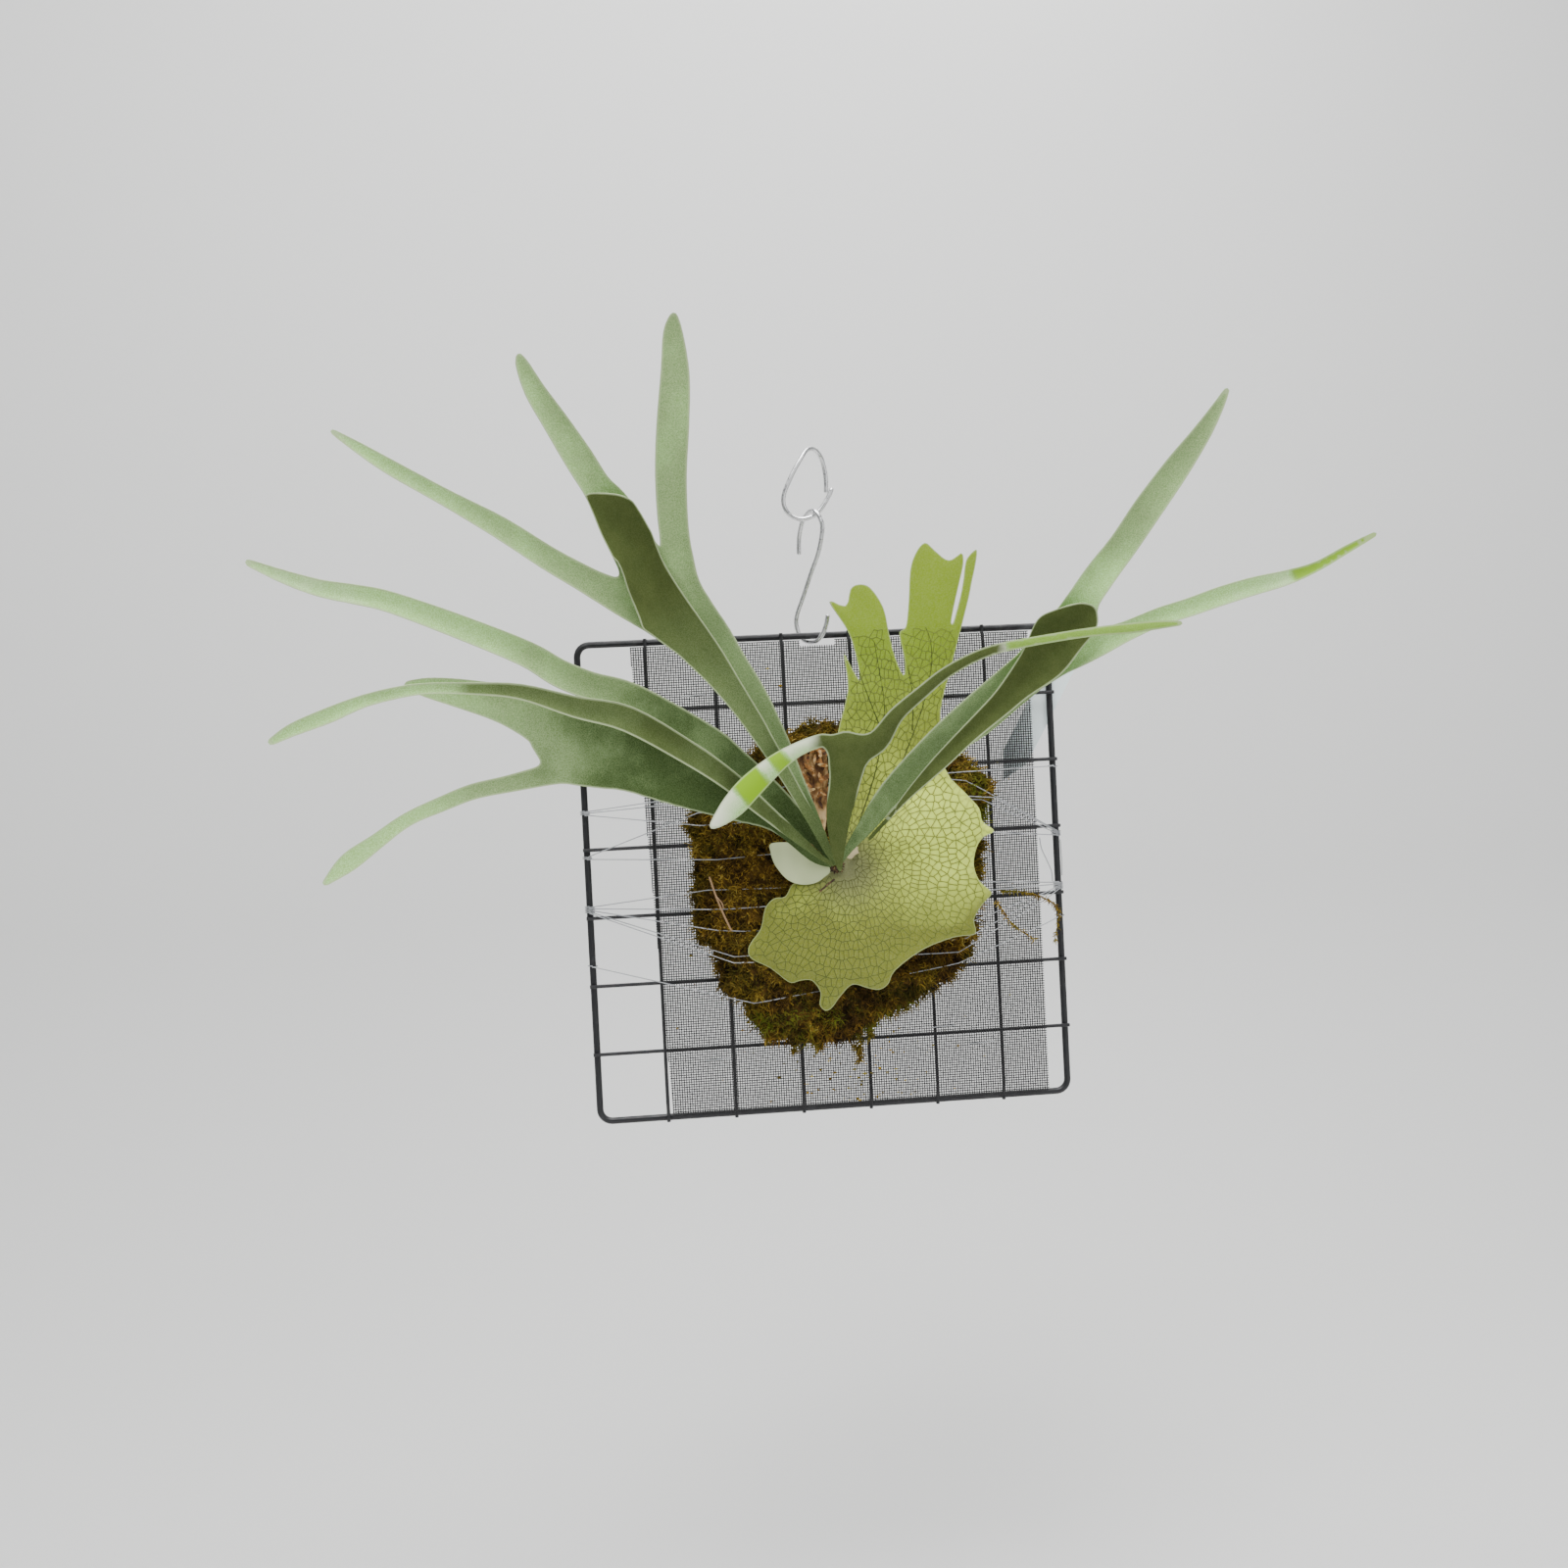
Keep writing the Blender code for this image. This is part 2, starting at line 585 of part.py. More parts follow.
def wrap(name, post, parent):
    """Turns of line round a side rod, as one sleeve."""
    x, z, turns = post
    high = turns * WRAP_STEP + 1.0
    mesh = bpy.data.meshes.new(name)
    bm = bmesh.new()
    sides = 12
    profile = [(ROD_R + GAP, -high / 2), (WRAP_R, -high / 2), (WRAP_R, high / 2), (ROD_R + GAP, high / 2)]
    rings = []
    for k in range(sides):
        a = k * math.tau / sides
        rings.append([
            bm.verts.new(((x + r * math.cos(a)) * MM, r * math.sin(a) * MM, (z + h) * MM)) for r, h in profile
        ])
    for k in range(sides):
        a, b = rings[k], rings[(k + 1) % sides]
        for i in range(4):
            j = (i + 1) % 4
            bm.faces.new((a[i], a[j], b[j], b[i]))
    bmesh.ops.recalc_face_normals(bm, faces=bm.faces)
    bm.to_mesh(mesh)
    bm.free()
    mesh.shade_smooth()
    mesh.set_sharp_from_angle(angle=math.radians(40))
    return add(name, mesh, parent, "line")


def strand_start(post, place_on_wrap):
    x, z, turns = POSTS[post]
    return (x, -(WRAP_R + GAP + LINE_R), z + ((turns - 1) / 2 - place_on_wrap) * WRAP_STEP)


def line_strand(number, strand, moss_depth, parent):
    """One strand, taut from the left wrap over the mesh and the moss to the right wrap."""
    left, left_place, enter, leave, right, right_place, layer = strand
    start, end = strand_start(left, left_place), strand_start(right, right_place)
    corners = [(start[0], start[2]), enter, leave, (end[0], end[2])]
    clear = LINE_R + GAP + layer * (2 * LINE_R + GAP)
    samples = [(0.0, start)]
    along = 0.0
    for (ax, az), (bx, bz) in zip(corners, corners[1:]):
        span = math.dist((ax, az), (bx, bz))
        for k in range(1, STRAND_STEPS):
            t = k / STRAND_STEPS
            x, z = ax + t * (bx - ax), az + t * (bz - az)
            highest = -WRAP_R
            if MESH_LEFT[0] - 4 < x < MESH_RIGHT + 4:
                highest = MESH_FRONT
            around = [moss_depth(x + dx, z + dz) for dx in (-7, 0, 7) for dz in (-5, 0, 5)]
            if min(around) < MOSS_BACK - MOSS_RIM:
                highest = min(around)
            samples.append((along + t * span, (x, highest - clear, z)))
        along += span
    samples.append((along, end))
    route = []
    for s, point in samples:
        while len(route) > 1:
            (s0, p0), (s1, p1) = route[-2:]
            if (s1 - s0) * (point[1] - p0[1]) - (p1[1] - p0[1]) * (s - s0) > 0:
                break
            route.pop()
        route.append((s, point))
    return tube(f"line_strand_{number}", [p for _, p in route], LINE_R, parent, "line", sides=1)


def fishing_line(parent, moss_depth):
    for name, post in POSTS.items():
        wrap(f"line_wrap_{name}", post, parent)
    for number, strand in enumerate(STRANDS, 1):
        line_strand(number, strand, moss_depth, parent)
    x = HALF + ROD_R + GAP + LINE_R
    tube("line_run_right", [(x, 0, -163.5), (x + 0.4, 0, -178), (x, 0, -191)], LINE_R, parent, "line", sides=1)
    tail = smooth_path([(HALF - 4.6, -1.5, -195), (172, -4, -187), (168, -5, -177), (165, -4, -169), (164, -4, -161)], 3)
    tube("line_tail", tail, LINE_R, parent, "line", sides=1)


def moss_strands(parent):
    routes = [
        [(131, -14, -199), (149, -16, -201), (164, -18, -207), (172, -19, -217), (168, -18, -238)],
        [(124, -25, -205), (133, -27, -221), (150, -26, -235)],
        [(14, -13, -308), (18, -14, -313), (16, -14, -320)],
    ]
    for k, route in enumerate(routes, 1):
        tube(f"moss_strand_{k}", smooth_path(route, 3), 1.3, parent, "moss", sides=1)


def old_stalk(parent):
    tube("old_frond_stalk", [(1, -53, -179.6), (-4, -53, -183), (-10, -52, -188)], 0.8, parent, "bud", sides=1)


def rail_hook(parent, origin):
    route = smooth_path([
        (19, 0, 110), (15, 0, 102.5), (10, 0, 95.2), (4, 0, 90), (-7, 0, 88), (-16, 0, 94), (-18, 0, 105), (-11, 0, 121), (-3, 1, 134),
        (2, 5, 141), (8, 12, 143), (14, 19, 138), (17, 22.5, 126), (17, 22.5, 112),
    ], 4)
    return tube("rail_hook", route, HOOK_R, parent, "zinc", sides=3, offset=origin)


def s_hook(parent, origin):
    route = smooth_path([
        (-7, 16, 64), (-6.5, 14.5, 76), (-4, 9.5, 87), (-0.5, 3.9, 92.3), (2.1, 0, 93.8), (5, -3.9, 92.4),
        (8, -6, 87.5), (9.5, -7, 79), (6, -3, 62),
        (0, 1, 47), (-6, 4, 31), (-12, 7.5, 15), (-11.5, 7.5, 5), (-8, 5.2, -1.8), (-4, 0.4, -5), (1, -5, -5),
        (5.5, -8.5, 0), (8.5, -10, 7), (10, -10.5, 14),
    ], 4)
    return tube("s_hook", route, HOOK_R, parent, "zinc", sides=3, offset=origin)


def plant_label(parent, origin):
    ax, az = LABEL_AXIS
    half = LABEL_W / 2

    def at(along, across):
        return (LABEL_TIP[0] + along * ax + across * az, LABEL_TIP[1] + along * az - across * ax)

    loop = [at(0, 0), at(LABEL_POINT, half), at(LABEL_L - 3, half), at(LABEL_L, half - 3), at(LABEL_L, 3 - half),
            at(LABEL_L - 3, -half), at(LABEL_POINT, -half)]
    flat, triangles, rim = fill(loop, 400.0)
    front = [(x, LABEL_Y, z) for x, z in flat]
    back = [(x, LABEL_Y + LABEL_T, z) for x, z in flat]
    return solid("plant_label", front, back, triangles, rim, parent, "label", offset=origin)


def build():
    clear_scene()
    base = place("panel_frame", [-v for v in HANG])
    rail = place("rail_pivot", (0, 0, 0), base)
    rail_hook(rail, (0, 0, 0))
    s_pivot = place("s_hook_pivot", U_WIRE, base)
    s_hook(s_pivot, U_WIRE)
    panel = place("panel_pivot", (0, 0, 0), base)
    perimeter_rod(panel)
    grid_wires(panel)
    mesh_sheet(panel)
    loop = smooth_path(MOSS_OUTLINE, 2, closed=True)
    moss_depth = moss_front(loop)
    moss_pad(panel, loop, moss_depth)
    root_ball(panel)
    bud(panel, -56.0, -37.0)
    shields(panel)
    for name, shape in FRONDS.items():
        fertile_frond(name, shape, panel)
    fishing_line(panel, moss_depth)
    moss_strands(panel)
    old_stalk(panel)
    tip = (LABEL_TIP[0], LABEL_Y, LABEL_TIP[1])
    plant_label(place("label_slide", tip, base), tip)


build()
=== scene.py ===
"""A staghorn fern tied to a moss pad on a wire grid panel that hangs from two wire hooks."""
import math
import random

import bmesh
import bpy
import numpy as np
from mathutils import Matrix, Vector, noise
from mathutils.geometry import delaunay_2d_cdt
from mathutils.kdtree import KDTree

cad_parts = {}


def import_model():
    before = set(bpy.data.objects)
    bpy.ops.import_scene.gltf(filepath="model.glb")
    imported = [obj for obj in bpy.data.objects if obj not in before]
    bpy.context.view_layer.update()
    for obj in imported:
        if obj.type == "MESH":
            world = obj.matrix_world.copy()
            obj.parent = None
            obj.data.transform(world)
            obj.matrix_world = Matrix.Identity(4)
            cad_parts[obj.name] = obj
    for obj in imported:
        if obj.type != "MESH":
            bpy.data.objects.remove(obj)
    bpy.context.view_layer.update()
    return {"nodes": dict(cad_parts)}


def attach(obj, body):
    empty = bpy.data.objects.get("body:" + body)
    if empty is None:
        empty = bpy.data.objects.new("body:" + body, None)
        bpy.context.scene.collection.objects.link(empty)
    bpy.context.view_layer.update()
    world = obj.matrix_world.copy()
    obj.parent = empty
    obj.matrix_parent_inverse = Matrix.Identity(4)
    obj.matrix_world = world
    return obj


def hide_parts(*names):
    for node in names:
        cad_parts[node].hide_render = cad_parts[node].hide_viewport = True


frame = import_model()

# Everything but the stage is in the panel's frame, in millimetres: X right, Y back, Z up, origin at the
# middle of the panel's top rod. HANG is the model's origin in that frame.
MM = 0.001
HANG = np.array((8.0, 12.0, 141.2))
HALF = 177.8            # half the panel's width, on rod centres
BUD = np.array((3.0, -170.0))
MESH_FRONT = -9.3
MESH_BACK = -8.8
MESH_TOP, MESH_BOTTOM, MESH_RIGHT = -4.0, -354.0, 161.0
MESH_LEFT, MESH_LEAN = -138, 15     # its left edge at the top, and how far it has run in at the bottom
MESH_FIRST = -137.4
OVER_MESH = (-142, 165)     # the line stays in front of the mesh between these places across
NOTCH_LEFT, NOTCH_RIGHT, NOTCH_LOW = -12, 14, -8
MESH_PITCH, THREAD_HALF, THREAD_THICK = 1.8, 0.37, 0.12
MOSS_BACK = -9.6
MOSS_H = 23.0           # the pad's full height, of which MOSS_RIM is a step at its edge
MOSS_RIM = 3.0
MOSS_SINK = -0.6
MOSS_SHOULDER = 32.0    # how far in from the edge the pad reaches its full height
MOSS_CELL = 3.2
UNDER_SHIELD, FIBRES_UNDER = -33.5, -35.2   # the moss and its fibres stay behind these depths there
FIBRES, FIBRE_TRIES = 9000, 18000           # in each of the two pieces
NET_AT = (12, -172)     # where the shield's veins spread from
NET_TOP = -2.0
SHIELD_CELL = 1.6
SHIELD_THICK = 1.1
SMALL_LEAF_THICK = 0.8
LINE_R = 0.4
LINE_GAP = 0.3
WRAP_R = 3.8
WRAP_STEP = 1.1
WRAP_SIDES = 14
STRAND_STEPS = 16
HOOK_R = 1.75
FROND_RISE = 0.25       # how far forward a frond comes for each millimetre from the bud
FROND_GRID = 1.5
FROND_CELL = 2.8
FLAP_CELL = 1.8
FLAP_GAP = 1.9
WEB = 6.0               # size of the rounded web in a fork

# Camera, measured in the panel's frame
CAMERA_AT = (-91.4, -945.9, -100.1)
CAMERA_YAW, CAMERA_PITCH, CAMERA_ROLL = -3.82, -0.63, -2.84
LENS_MM = 28.9

MOSS_OUTLINE = [
    (-103, -131), (-84, -112), (-62, -92), (-40, -78), (-24, -73), (-6, -65), (18, -67), (50, -78), (92, -88),
    (116, -104), (127, -120), (119, -142), (117, -174), (112, -206), (106, -238), (89, -260), (53, -281),
    (28, -292), (5, -305), (-35, -301), (-52, -298), (-68, -273), (-85, -258), (-84, -238), (-103, -210),
    (-99, -163),
]
SHIELD_OUTLINE = [
    (10, -75), (16, -55), (19, -40), (17, -18), (22, -28), (28, -38), (24, -12), (18, 3), (8, 20), (20, 16),
    (24, 28), (30, 31), (38, 28), (47, 13), (50, -4), (54, -22), (60, -36), (61, -24), (58, -5), (63, -1),
    (66, 18), (68, 39), (72, 51), (79, 59), (86, 53), (93, 47), (98, 46), (103, 49), (107.2, 51), (107.4, 43),
    (104.5, 32), (99.5, 15), (96, 1), (97.6, 0), (100.5, 8), (104.3, 20), (107, 32), (109, 44), (112, 49),
    (117.5, 53), (116, 42), (113.2, 31), (109.5, 16), (100.5, -13), (94, -34), (88, -52), (85, -70),
    (87, -105), (101, -123), (111, -135), (113, -145), (122, -152), (113, -156), (107, -164), (104, -176),
    (108, -188), (117, -197), (110, -204), (102, -215), (103, -226), (86, -227), (63, -234), (42, -248),
    (37, -258), (30, -262), (21, -260), (11, -257), (2, -266), (-4, -274), (-9, -276), (-13, -271),
    (-12, -262), (-18, -253), (-27, -253), (-34, -254), (-47, -243), (-61, -235), (-62, -226), (-53, -214),
    (-49, -199), (-42, -192), (-34, -191), (-28, -182), (-14, -181), (-5, -178), (2, -173), (8, -167),
    (8, -157), (4, -140), (5, -108),
]
YOUNG_SHIELD = [
    (-42.5, -152), (-43.5, -158), (-41.5, -166), (-38, -172), (-33, -178), (-27, -181.5), (-20, -183),
    (-12, -182), (-6, -178.5), (-1, -173), (-10, -162), (-25, -153),
]
BUD_SCALE = [(11, -165), (13, -160), (16, -159), (17.5, -156.5), (19.5, -158), (19, -160.5), (20.5, -162),
             (17, -163.5), (15, -166)]
DRY_SHIELD = [
    (-22, -88), (-12, -80), (0, -84), (1, -110), (-1, -135), (-5, -152), (-14, -157), (-22, -148),
    (-20, -118),
]

# Tufts hanging from the moss: x, z, length
MOSS_TUFTS = [(-33, -297, 12), (-14, -300, 8), (16, -294, 20), (24, -290, 12), (-52, -292, 8),
              (-98, -215, 10), (-86, -240, 7), (108, -112, 6), (120, -118, 5), (88, -254, 6)]
# Main veins up the shield's crown, from the tip down
MAIN_VEINS = [
    [(39, -11), (41.5, -29), (44.5, -57), (42, -80), (34, -110), (22, -140)],
    [(27, -30), (33, -50), (40, -70)],
    [(77, -2), (80, -12), (80, -30), (73, -58), (62.5, -83), (52, -105), (30, -140)],
    [(63, -30), (66, -52), (64, -76)],
]
# Fertile fronds. A branch is a row of stations (x, z, half width). "at" is how far the root stands in front
# of the panel, and "cup" how deep a gutter the frond is. "pale" is how silvery the felt is: from which to
# which distance from the bud it changes, and its value at each. "under" outlines the part whose darker
# underside is seen, by "shade"; that darker underside is its own olive with painted shade on top. Where
# "lift" is above zero that part is a flap of its own, folded over, which stands forward by "lift" along its
# border, may reach past the frond's edge by "spill", and is as dark as "fade" near the bud.
FRONDS = {
    "fertile_frond_upper_left": {
        "at": 53.0, "cup": 0.30, "lift": 9.0, "spill": 0.3, "fade": 0.6, "pale": (60, 330, 0.38, 0.62),
        "branches": [
            [(2, -169, 1.2), (-4, -157, 2.6), (-13, -136, 4.5), (-26, -108, 7), (-38, -83, 10),
             (-55, -52, 13.3), (-70, -30, 15.4), (-86, -8, 19), (-104, 14, 20)],
            [(-80, -14, 10), (-91, 19, 8), (-97, 41, 9), (-100, 62, 9.6), (-100, 94, 10), (-97, 125, 10.2),
             (-94, 155, 9), (-94, 179, 6.2), (-93, 189, 2.5)],
            [(-98, 6, 18), (-118, 30, 15.5), (-125, 45, 14.5), (-133, 62, 14), (-140, 76, 12),
             (-148, 88, 9.4), (-158, 105, 9.3), (-171, 127, 8), (-182, 145, 6.5), (-188, 159, 4.4),
             (-190, 165, 2)],
            [(-98, 0, 16), (-130, 15, 12), (-148, 24, 9.4), (-162, 32, 8.2), (-182, 44, 7.5), (-210, 63, 6.9),
             (-241, 81, 5.2), (-272, 99, 4.6), (-289, 110, 3.4), (-304, 120, 1.6)],
        ],
        "under": [(4, -165), (-12, -133), (-38, -82), (-47, -64), (-60, -41), (-75, -14), (-94, 15),
                  (-105, 33), (-110, 44), (-115, 59), (-120, 71), (-129, 78.5), (-141, 81.5), (-154, 80.5),
                  (-158, 70), (-150, 50), (-137, 39), (-131, 20), (-127, 9), (-124, -1), (-125, -8),
                  (-147, -20), (-120, -60), (-60, -140), (-20, -190)],
    },
    "fertile_frond_left": {
        "at": 49.5, "cup": 0.35, "lift": 0.0, "pale": (110, 300, 0.06, 0.70),
        "branches": [
            [(1, -169, 1.2), (-9, -155, 2.6), (-34, -125, 8), (-67, -91, 8.5), (-85, -75, 8.5),
             (-132, -47, 9), (-160, -38, 9), (-180, -29, 9), (-200, -16, 8.3), (-240, 2, 7.5),
             (-280, 18, 6.5), (-300, 23, 6), (-320, 27, 5.2), (-340, 34, 4), (-360, 43, 2)],
        ],
        "under": [],
    },
    "fertile_frond_left_folded": {
        "at": 56.0, "cup": 0.35, "lift": 0.0, "pale": (150, 290, 0.20, 0.50), "shade": 0.75,
        "branches": [
            [(0, -169, 1.2), (-12, -160, 2.2), (-49, -126, 5.5), (-72, -104.5, 6.8), (-99, -84.5, 7.8),
             (-137, -61, 8.5), (-170, -52, 7), (-204, -41, 5), (-234, -38, 3.8), (-260, -37, 3.4),
             (-279, -39, 3.6), (-300, -44, 3.8), (-320, -52, 4.6), (-341, -60, 3.8), (-354, -67, 2)],
        ],
        "under": [(10, -150), (-50, -110), (-137, -30), (-230, -10), (-250, -60), (-150, -90), (-60, -160),
                  (0, -190)],
    },
    "fertile_frond_lower_left": {
        "at": 46.5, "cup": 0.10, "lift": 0.0, "pale": (120, 330, 0.02, 0.55),
        "branches": [
            [(-1, -170, 1.4), (-14, -163, 3), (-39, -137, 6.5), (-68, -120, 13.5), (-103, -103, 19),
             (-141, -83, 25), (-171, -74, 26), (-188, -62, 18), (-205, -52, 15), (-222, -46, 12),
             (-244, -40, 9.3), (-262, -36, 6.5), (-274, -34, 3)],
            [(-150, -84, 22), (-171, -89, 14), (-186, -94, 8), (-216, -100, 5.7), (-239, -104, 5.2),
             (-259, -111, 4.9), (-281, -120, 4.4), (-300, -133, 5), (-317, -145, 6), (-331, -157, 2)],
        ],
        "under": [],
    },
    "fertile_frond_middle": {
        "at": 74.0, "cup": -0.25, "lift": 0.0, "pale": (70, 95, 0.7, 1.5),
        "branches": [
            [(3, -171, 1.6), (2, -158, 4.5), (3, -134, 8.5), (8, -109, 11), (10, -93, 13), (9, -84, 8)],
            [(12, -90, 9), (-4, -82, 5), (-11, -82, 4.6), (-25, -87, 5), (-40, -96, 6.8), (-57, -110, 8.6),
             (-69, -122, 8.2), (-79, -131, 5), (-84, -135, 2.4)],
            [(12, -90, 10), (30, -84, 8), (43, -67, 5.5), (60, -53, 4.6), (79, -39, 4), (104, -28, 3.4),
             (133, -23, 3), (171, -19, 3), (198, -18, 3.4), (217, -17, 2.6), (227, -17, 1.6)],
        ],
        "under": [(-10, -175), (-14, -100), (-12, -60), (40, -40), (118, -10), (112, -50), (60, -80),
                  (20, -175)],
    },
    "fertile_frond_right": {
        "at": 51.0, "cup": 0.35, "lift": 8.0, "spill": 12.0, "fade": 1.0, "pale": (60, 330, 0.30, 0.60),
        "branches": [
            [(5, -169, 1.3), (13, -157, 3), (24, -143, 5.5), (43, -119, 9), (76, -88, 11.5), (99, -71, 14),
             (120, -54, 14), (145, -34, 14), (160, -18, 13), (170, -6, 9)],
            [(158, -18, 13), (170, 2, 10.6), (182, 19, 10.2), (197, 38, 9.5), (212, 60, 9.5), (230, 84, 8.5),
             (244, 103, 6.3), (255, 120, 3.8), (261, 131, 1.8)],
            [(146, -34, 14), (165, -29, 12), (181, -25, 9), (200, -18, 6.6), (221, -10, 6), (240, -5, 6),
             (260, 1, 6.2), (280, 6, 5.8), (300, 10, 4.8), (319, 16, 3.2), (338, 26, 2.6), (354, 34, 1.6)],
        ],
        "under": [(26, -150), (38, -136.5), (53, -117), (68, -99.5), (83, -84), (99, -68), (111, -55.5),
                  (121, -42), (130, -27), (136, -13), (141, -6), (150, -2.5), (162, 0.5), (170, 1), (177, -3),
                  (177, -16), (168, -29), (154, -45), (133, -58.5), (119, -69.5), (104, -81), (93, -90),
                  (81, -101), (68, -112), (53, -125), (38, -140.5), (27, -152.5)],
    },
}
# Lime-green bands across a branch; those on the middle frond's left branch are painted sunlight shining
# through the leaf. Frond, a place on the branch, the way the branch runs, where the band starts and ends
# along it, and how strong it is
LIME_AND_SUNLIGHT = [
    ("fertile_frond_middle", (-25, -87), (-0.78, -0.62), 7, 20, 0.9),
    ("fertile_frond_middle", (-25, -87), (-0.78, -0.62), 27, 50, 1.0),
    ("fertile_frond_middle", (110, -28), (0.99, 0.10), 6, 125, 0.55),
    ("fertile_frond_right", (300, 10), (0.90, 0.43), 4, 75, 0.8),
]

POSTS = {
    "left_1": (-HALF, -125.0, 3), "left_2": (-HALF, -158.5, 2), "left_3": (-HALF, -197.0, 5),
    "left_4": (-HALF, -239.0, 1), "right_1": (HALF, -107.0, 1), "right_2": (HALF, -158.0, 4),
    "right_3": (HALF, -198.0, 5), "right_4": (HALF, -221.0, 1),
}
STRANDS = [
    ("left_1", 0, (-137, -116), (94, -108), "right_1", 0, 0),
    ("left_1", 1, (-124, -121), (98, -111.5), "right_2", 0, 0),
    ("left_1", 2, (-87, -138), (111, -127), "right_2", 2, 0),
    ("left_2", 0, (-108, -128), (121, -126), "right_2", 1, 2),
    ("left_2", 1, (-131, -165), (130, -152), "right_2", 3, 0),
    ("left_3", 0, (-104, -184), (128, -189), "right_3", 0, 0),
    ("left_3", 1, (-60, -199), (128, -196), "right_3", 1, 1),
    ("left_3", 2, (-77, -215), (107, -221), "right_3", 2, 0),
    ("left_3", 3, (-85, -234), (111, -230), "right_3", 3, 0),
    ("left_3", 4, (-85, -238), (104, -240), "right_3", 4, 1),
    ("left_4", 0, (-71, -270), (103, -247), "right_4", 0, 0),
]


def world(points):
    """Panel millimetres to the model's metres."""
    return (np.asarray(points, float) - HANG) * MM


# Camera

def place_camera():
    yaw, pitch, roll = (math.radians(a) for a in (CAMERA_YAW, CAMERA_PITCH, CAMERA_ROLL))
    right = Vector((math.cos(yaw), math.sin(yaw), 0))
    ahead = Vector((-math.sin(yaw), math.cos(yaw), 0))
    up = Vector((0, 0, 1))
    forward = ahead * math.cos(pitch) + up * math.sin(pitch)
    up = up * math.cos(pitch) - ahead * math.sin(pitch)
    r = right * math.cos(roll) + up * math.sin(roll)
    u = up * math.cos(roll) - right * math.sin(roll)
    data = bpy.data.cameras.new("camera")
    data.lens = LENS_MM
    data.sensor_width = 36.0
    data.clip_start = 0.01
    camera = bpy.data.objects.new("camera", data)
    bpy.context.collection.objects.link(camera)
    turn = Matrix((r, u, -forward)).transposed().to_4x4()
    camera.matrix_world = Matrix.Translation(world(CAMERA_AT)) @ turn
    bpy.context.scene.camera = camera


# Shapes

def smooth_path(points, steps, closed=False):
    """Points on a Catmull-Rom curve through the given ones, steps per span, in any number of dimensions."""
    count = len(points)
    out = []
    for i in range(count if closed else count - 1):
        if closed:
            p = [np.array(points[(i + k) % count], float) for k in (-1, 0, 1, 2)]
        else:
            p = [np.array(points[min(max(i + k, 0), count - 1)], float) for k in (-1, 0, 1, 2)]
        for t in np.arange(steps) / steps:
            out.append(0.5 * (2 * p[1] + (p[2] - p[0]) * t + (2 * p[0] - 5 * p[1] + 4 * p[2] - p[3]) * t * t
                              + (3 * p[1] - p[0] - 3 * p[2] + p[3]) * t ** 3))
    if not closed:
        out.append(np.array(points[-1], float))
    return np.array(out)


def segments_distance(points, a, b):
    """For each point the distance to the nearest segment, with each segment's own half widths taken off.

    a and b are rows (x, z, half width)."""
    best = np.full(len(points), np.inf)
    for (ax, az, ar), (bx, bz, br) in zip(a, b):
        dx, dz = bx - ax, bz - az
        square = dx * dx + dz * dz or 1.0
        t = clamp(((points[:, 0] - ax) * dx + (points[:, 1] - az) * dz) / square)
        half = ar + t * (br - ar)
        best = np.minimum(best, np.hypot(points[:, 0] - ax - t * dx, points[:, 1] - az - t * dz) - half)
    return best


def frond_field(branches, points):
    """Signed distance to the frond's flat shape, below zero inside; WEB rounds the forks."""
    best = None
    for branch in branches:
        path = smooth_path(branch, 4)
        distance = segments_distance(points, path[:-1], path[1:])
        if best is None:
            best = distance
            continue
        blend = np.clip(WEB - np.abs(best - distance), 0, None) / WEB
        best = np.minimum(best, distance) - blend * blend * WEB / 4
    return best


def loop_distance(points, loop):
    closed = np.column_stack([loop, np.zeros(len(loop))])
    return segments_distance(points, closed, np.roll(closed, -1, axis=0))


def inside_loop(points, loop):
    inside = np.zeros(len(points), bool)
    x, z = points[:, 0], points[:, 1]
    for (ax, az), (bx, bz) in zip(loop, np.roll(loop, -1, axis=0)):
        if az == bz:
            continue
        crosses = (az > z) != (bz > z)
        inside ^= crosses & (x < ax + (z - az) / (bz - az) * (bx - ax))
    return inside


def signed_distance(points, loop):
    """Distance to the loop, below zero inside it."""
    return loop_distance(points, loop) * np.where(inside_loop(points, loop), -1, 1)


def ripple(points, across, along, layer):
    """Smooth noise between -1 and 1 at each point; across and along set how fine it is."""
    return np.array([noise.noise(Vector((x * across, z * along, layer))) for x, z in points])


def distance_to(points, place):
    return np.hypot(points[:, 0] - place[0], points[:, 1] - place[1])


def clamp(value):
    return np.clip(value, 0, 1)


def trace(value, low, step):
    """The longest loop where a grid of values is zero, by marching squares."""
    columns, rows = value.shape
    point, links = {}, {}
    sign = value < 0
    mixed = sign[:-1, :-1].astype(int) + sign[1:, :-1] + sign[1:, 1:] + sign[:-1, 1:]
    for i, j in zip(*np.nonzero((mixed > 0) & (mixed < 4))):
        corner = [sign[i, j], sign[i + 1, j], sign[i + 1, j + 1], sign[i, j + 1]]
        sides = [(i, j, True), (i + 1, j, False), (i, j + 1, True), (i, j, False)]
        cut = [sides[k] for k in range(4) if corner[k] != corner[(k + 1) % 4]]
        for key in cut:
            ci, cj, across = key
            a = value[ci, cj]
            b = value[ci + 1, cj] if across else value[ci, cj + 1]
            t = a / (a - b)
            point[key] = (low[0] + (ci + t * across) * step, low[1] + (cj + t * (not across)) * step)
        for a, b in zip(cut[::2], cut[1::2]):
            links.setdefault(a, []).append(b)
            links.setdefault(b, []).append(a)
    loops, left = [], dict.fromkeys(links)
    while left:
        start = next(iter(left))
        loop, here, last = [start], start, None
        while True:
            onward = [k for k in links[here] if k != last]
            if not onward or onward[0] == start:
                break
            last, here = here, onward[0]
            loop.append(here)
        for key in loop:
            left.pop(key, None)
        loops.append([point[k] for k in loop])
    return np.array(max(loops, key=len))


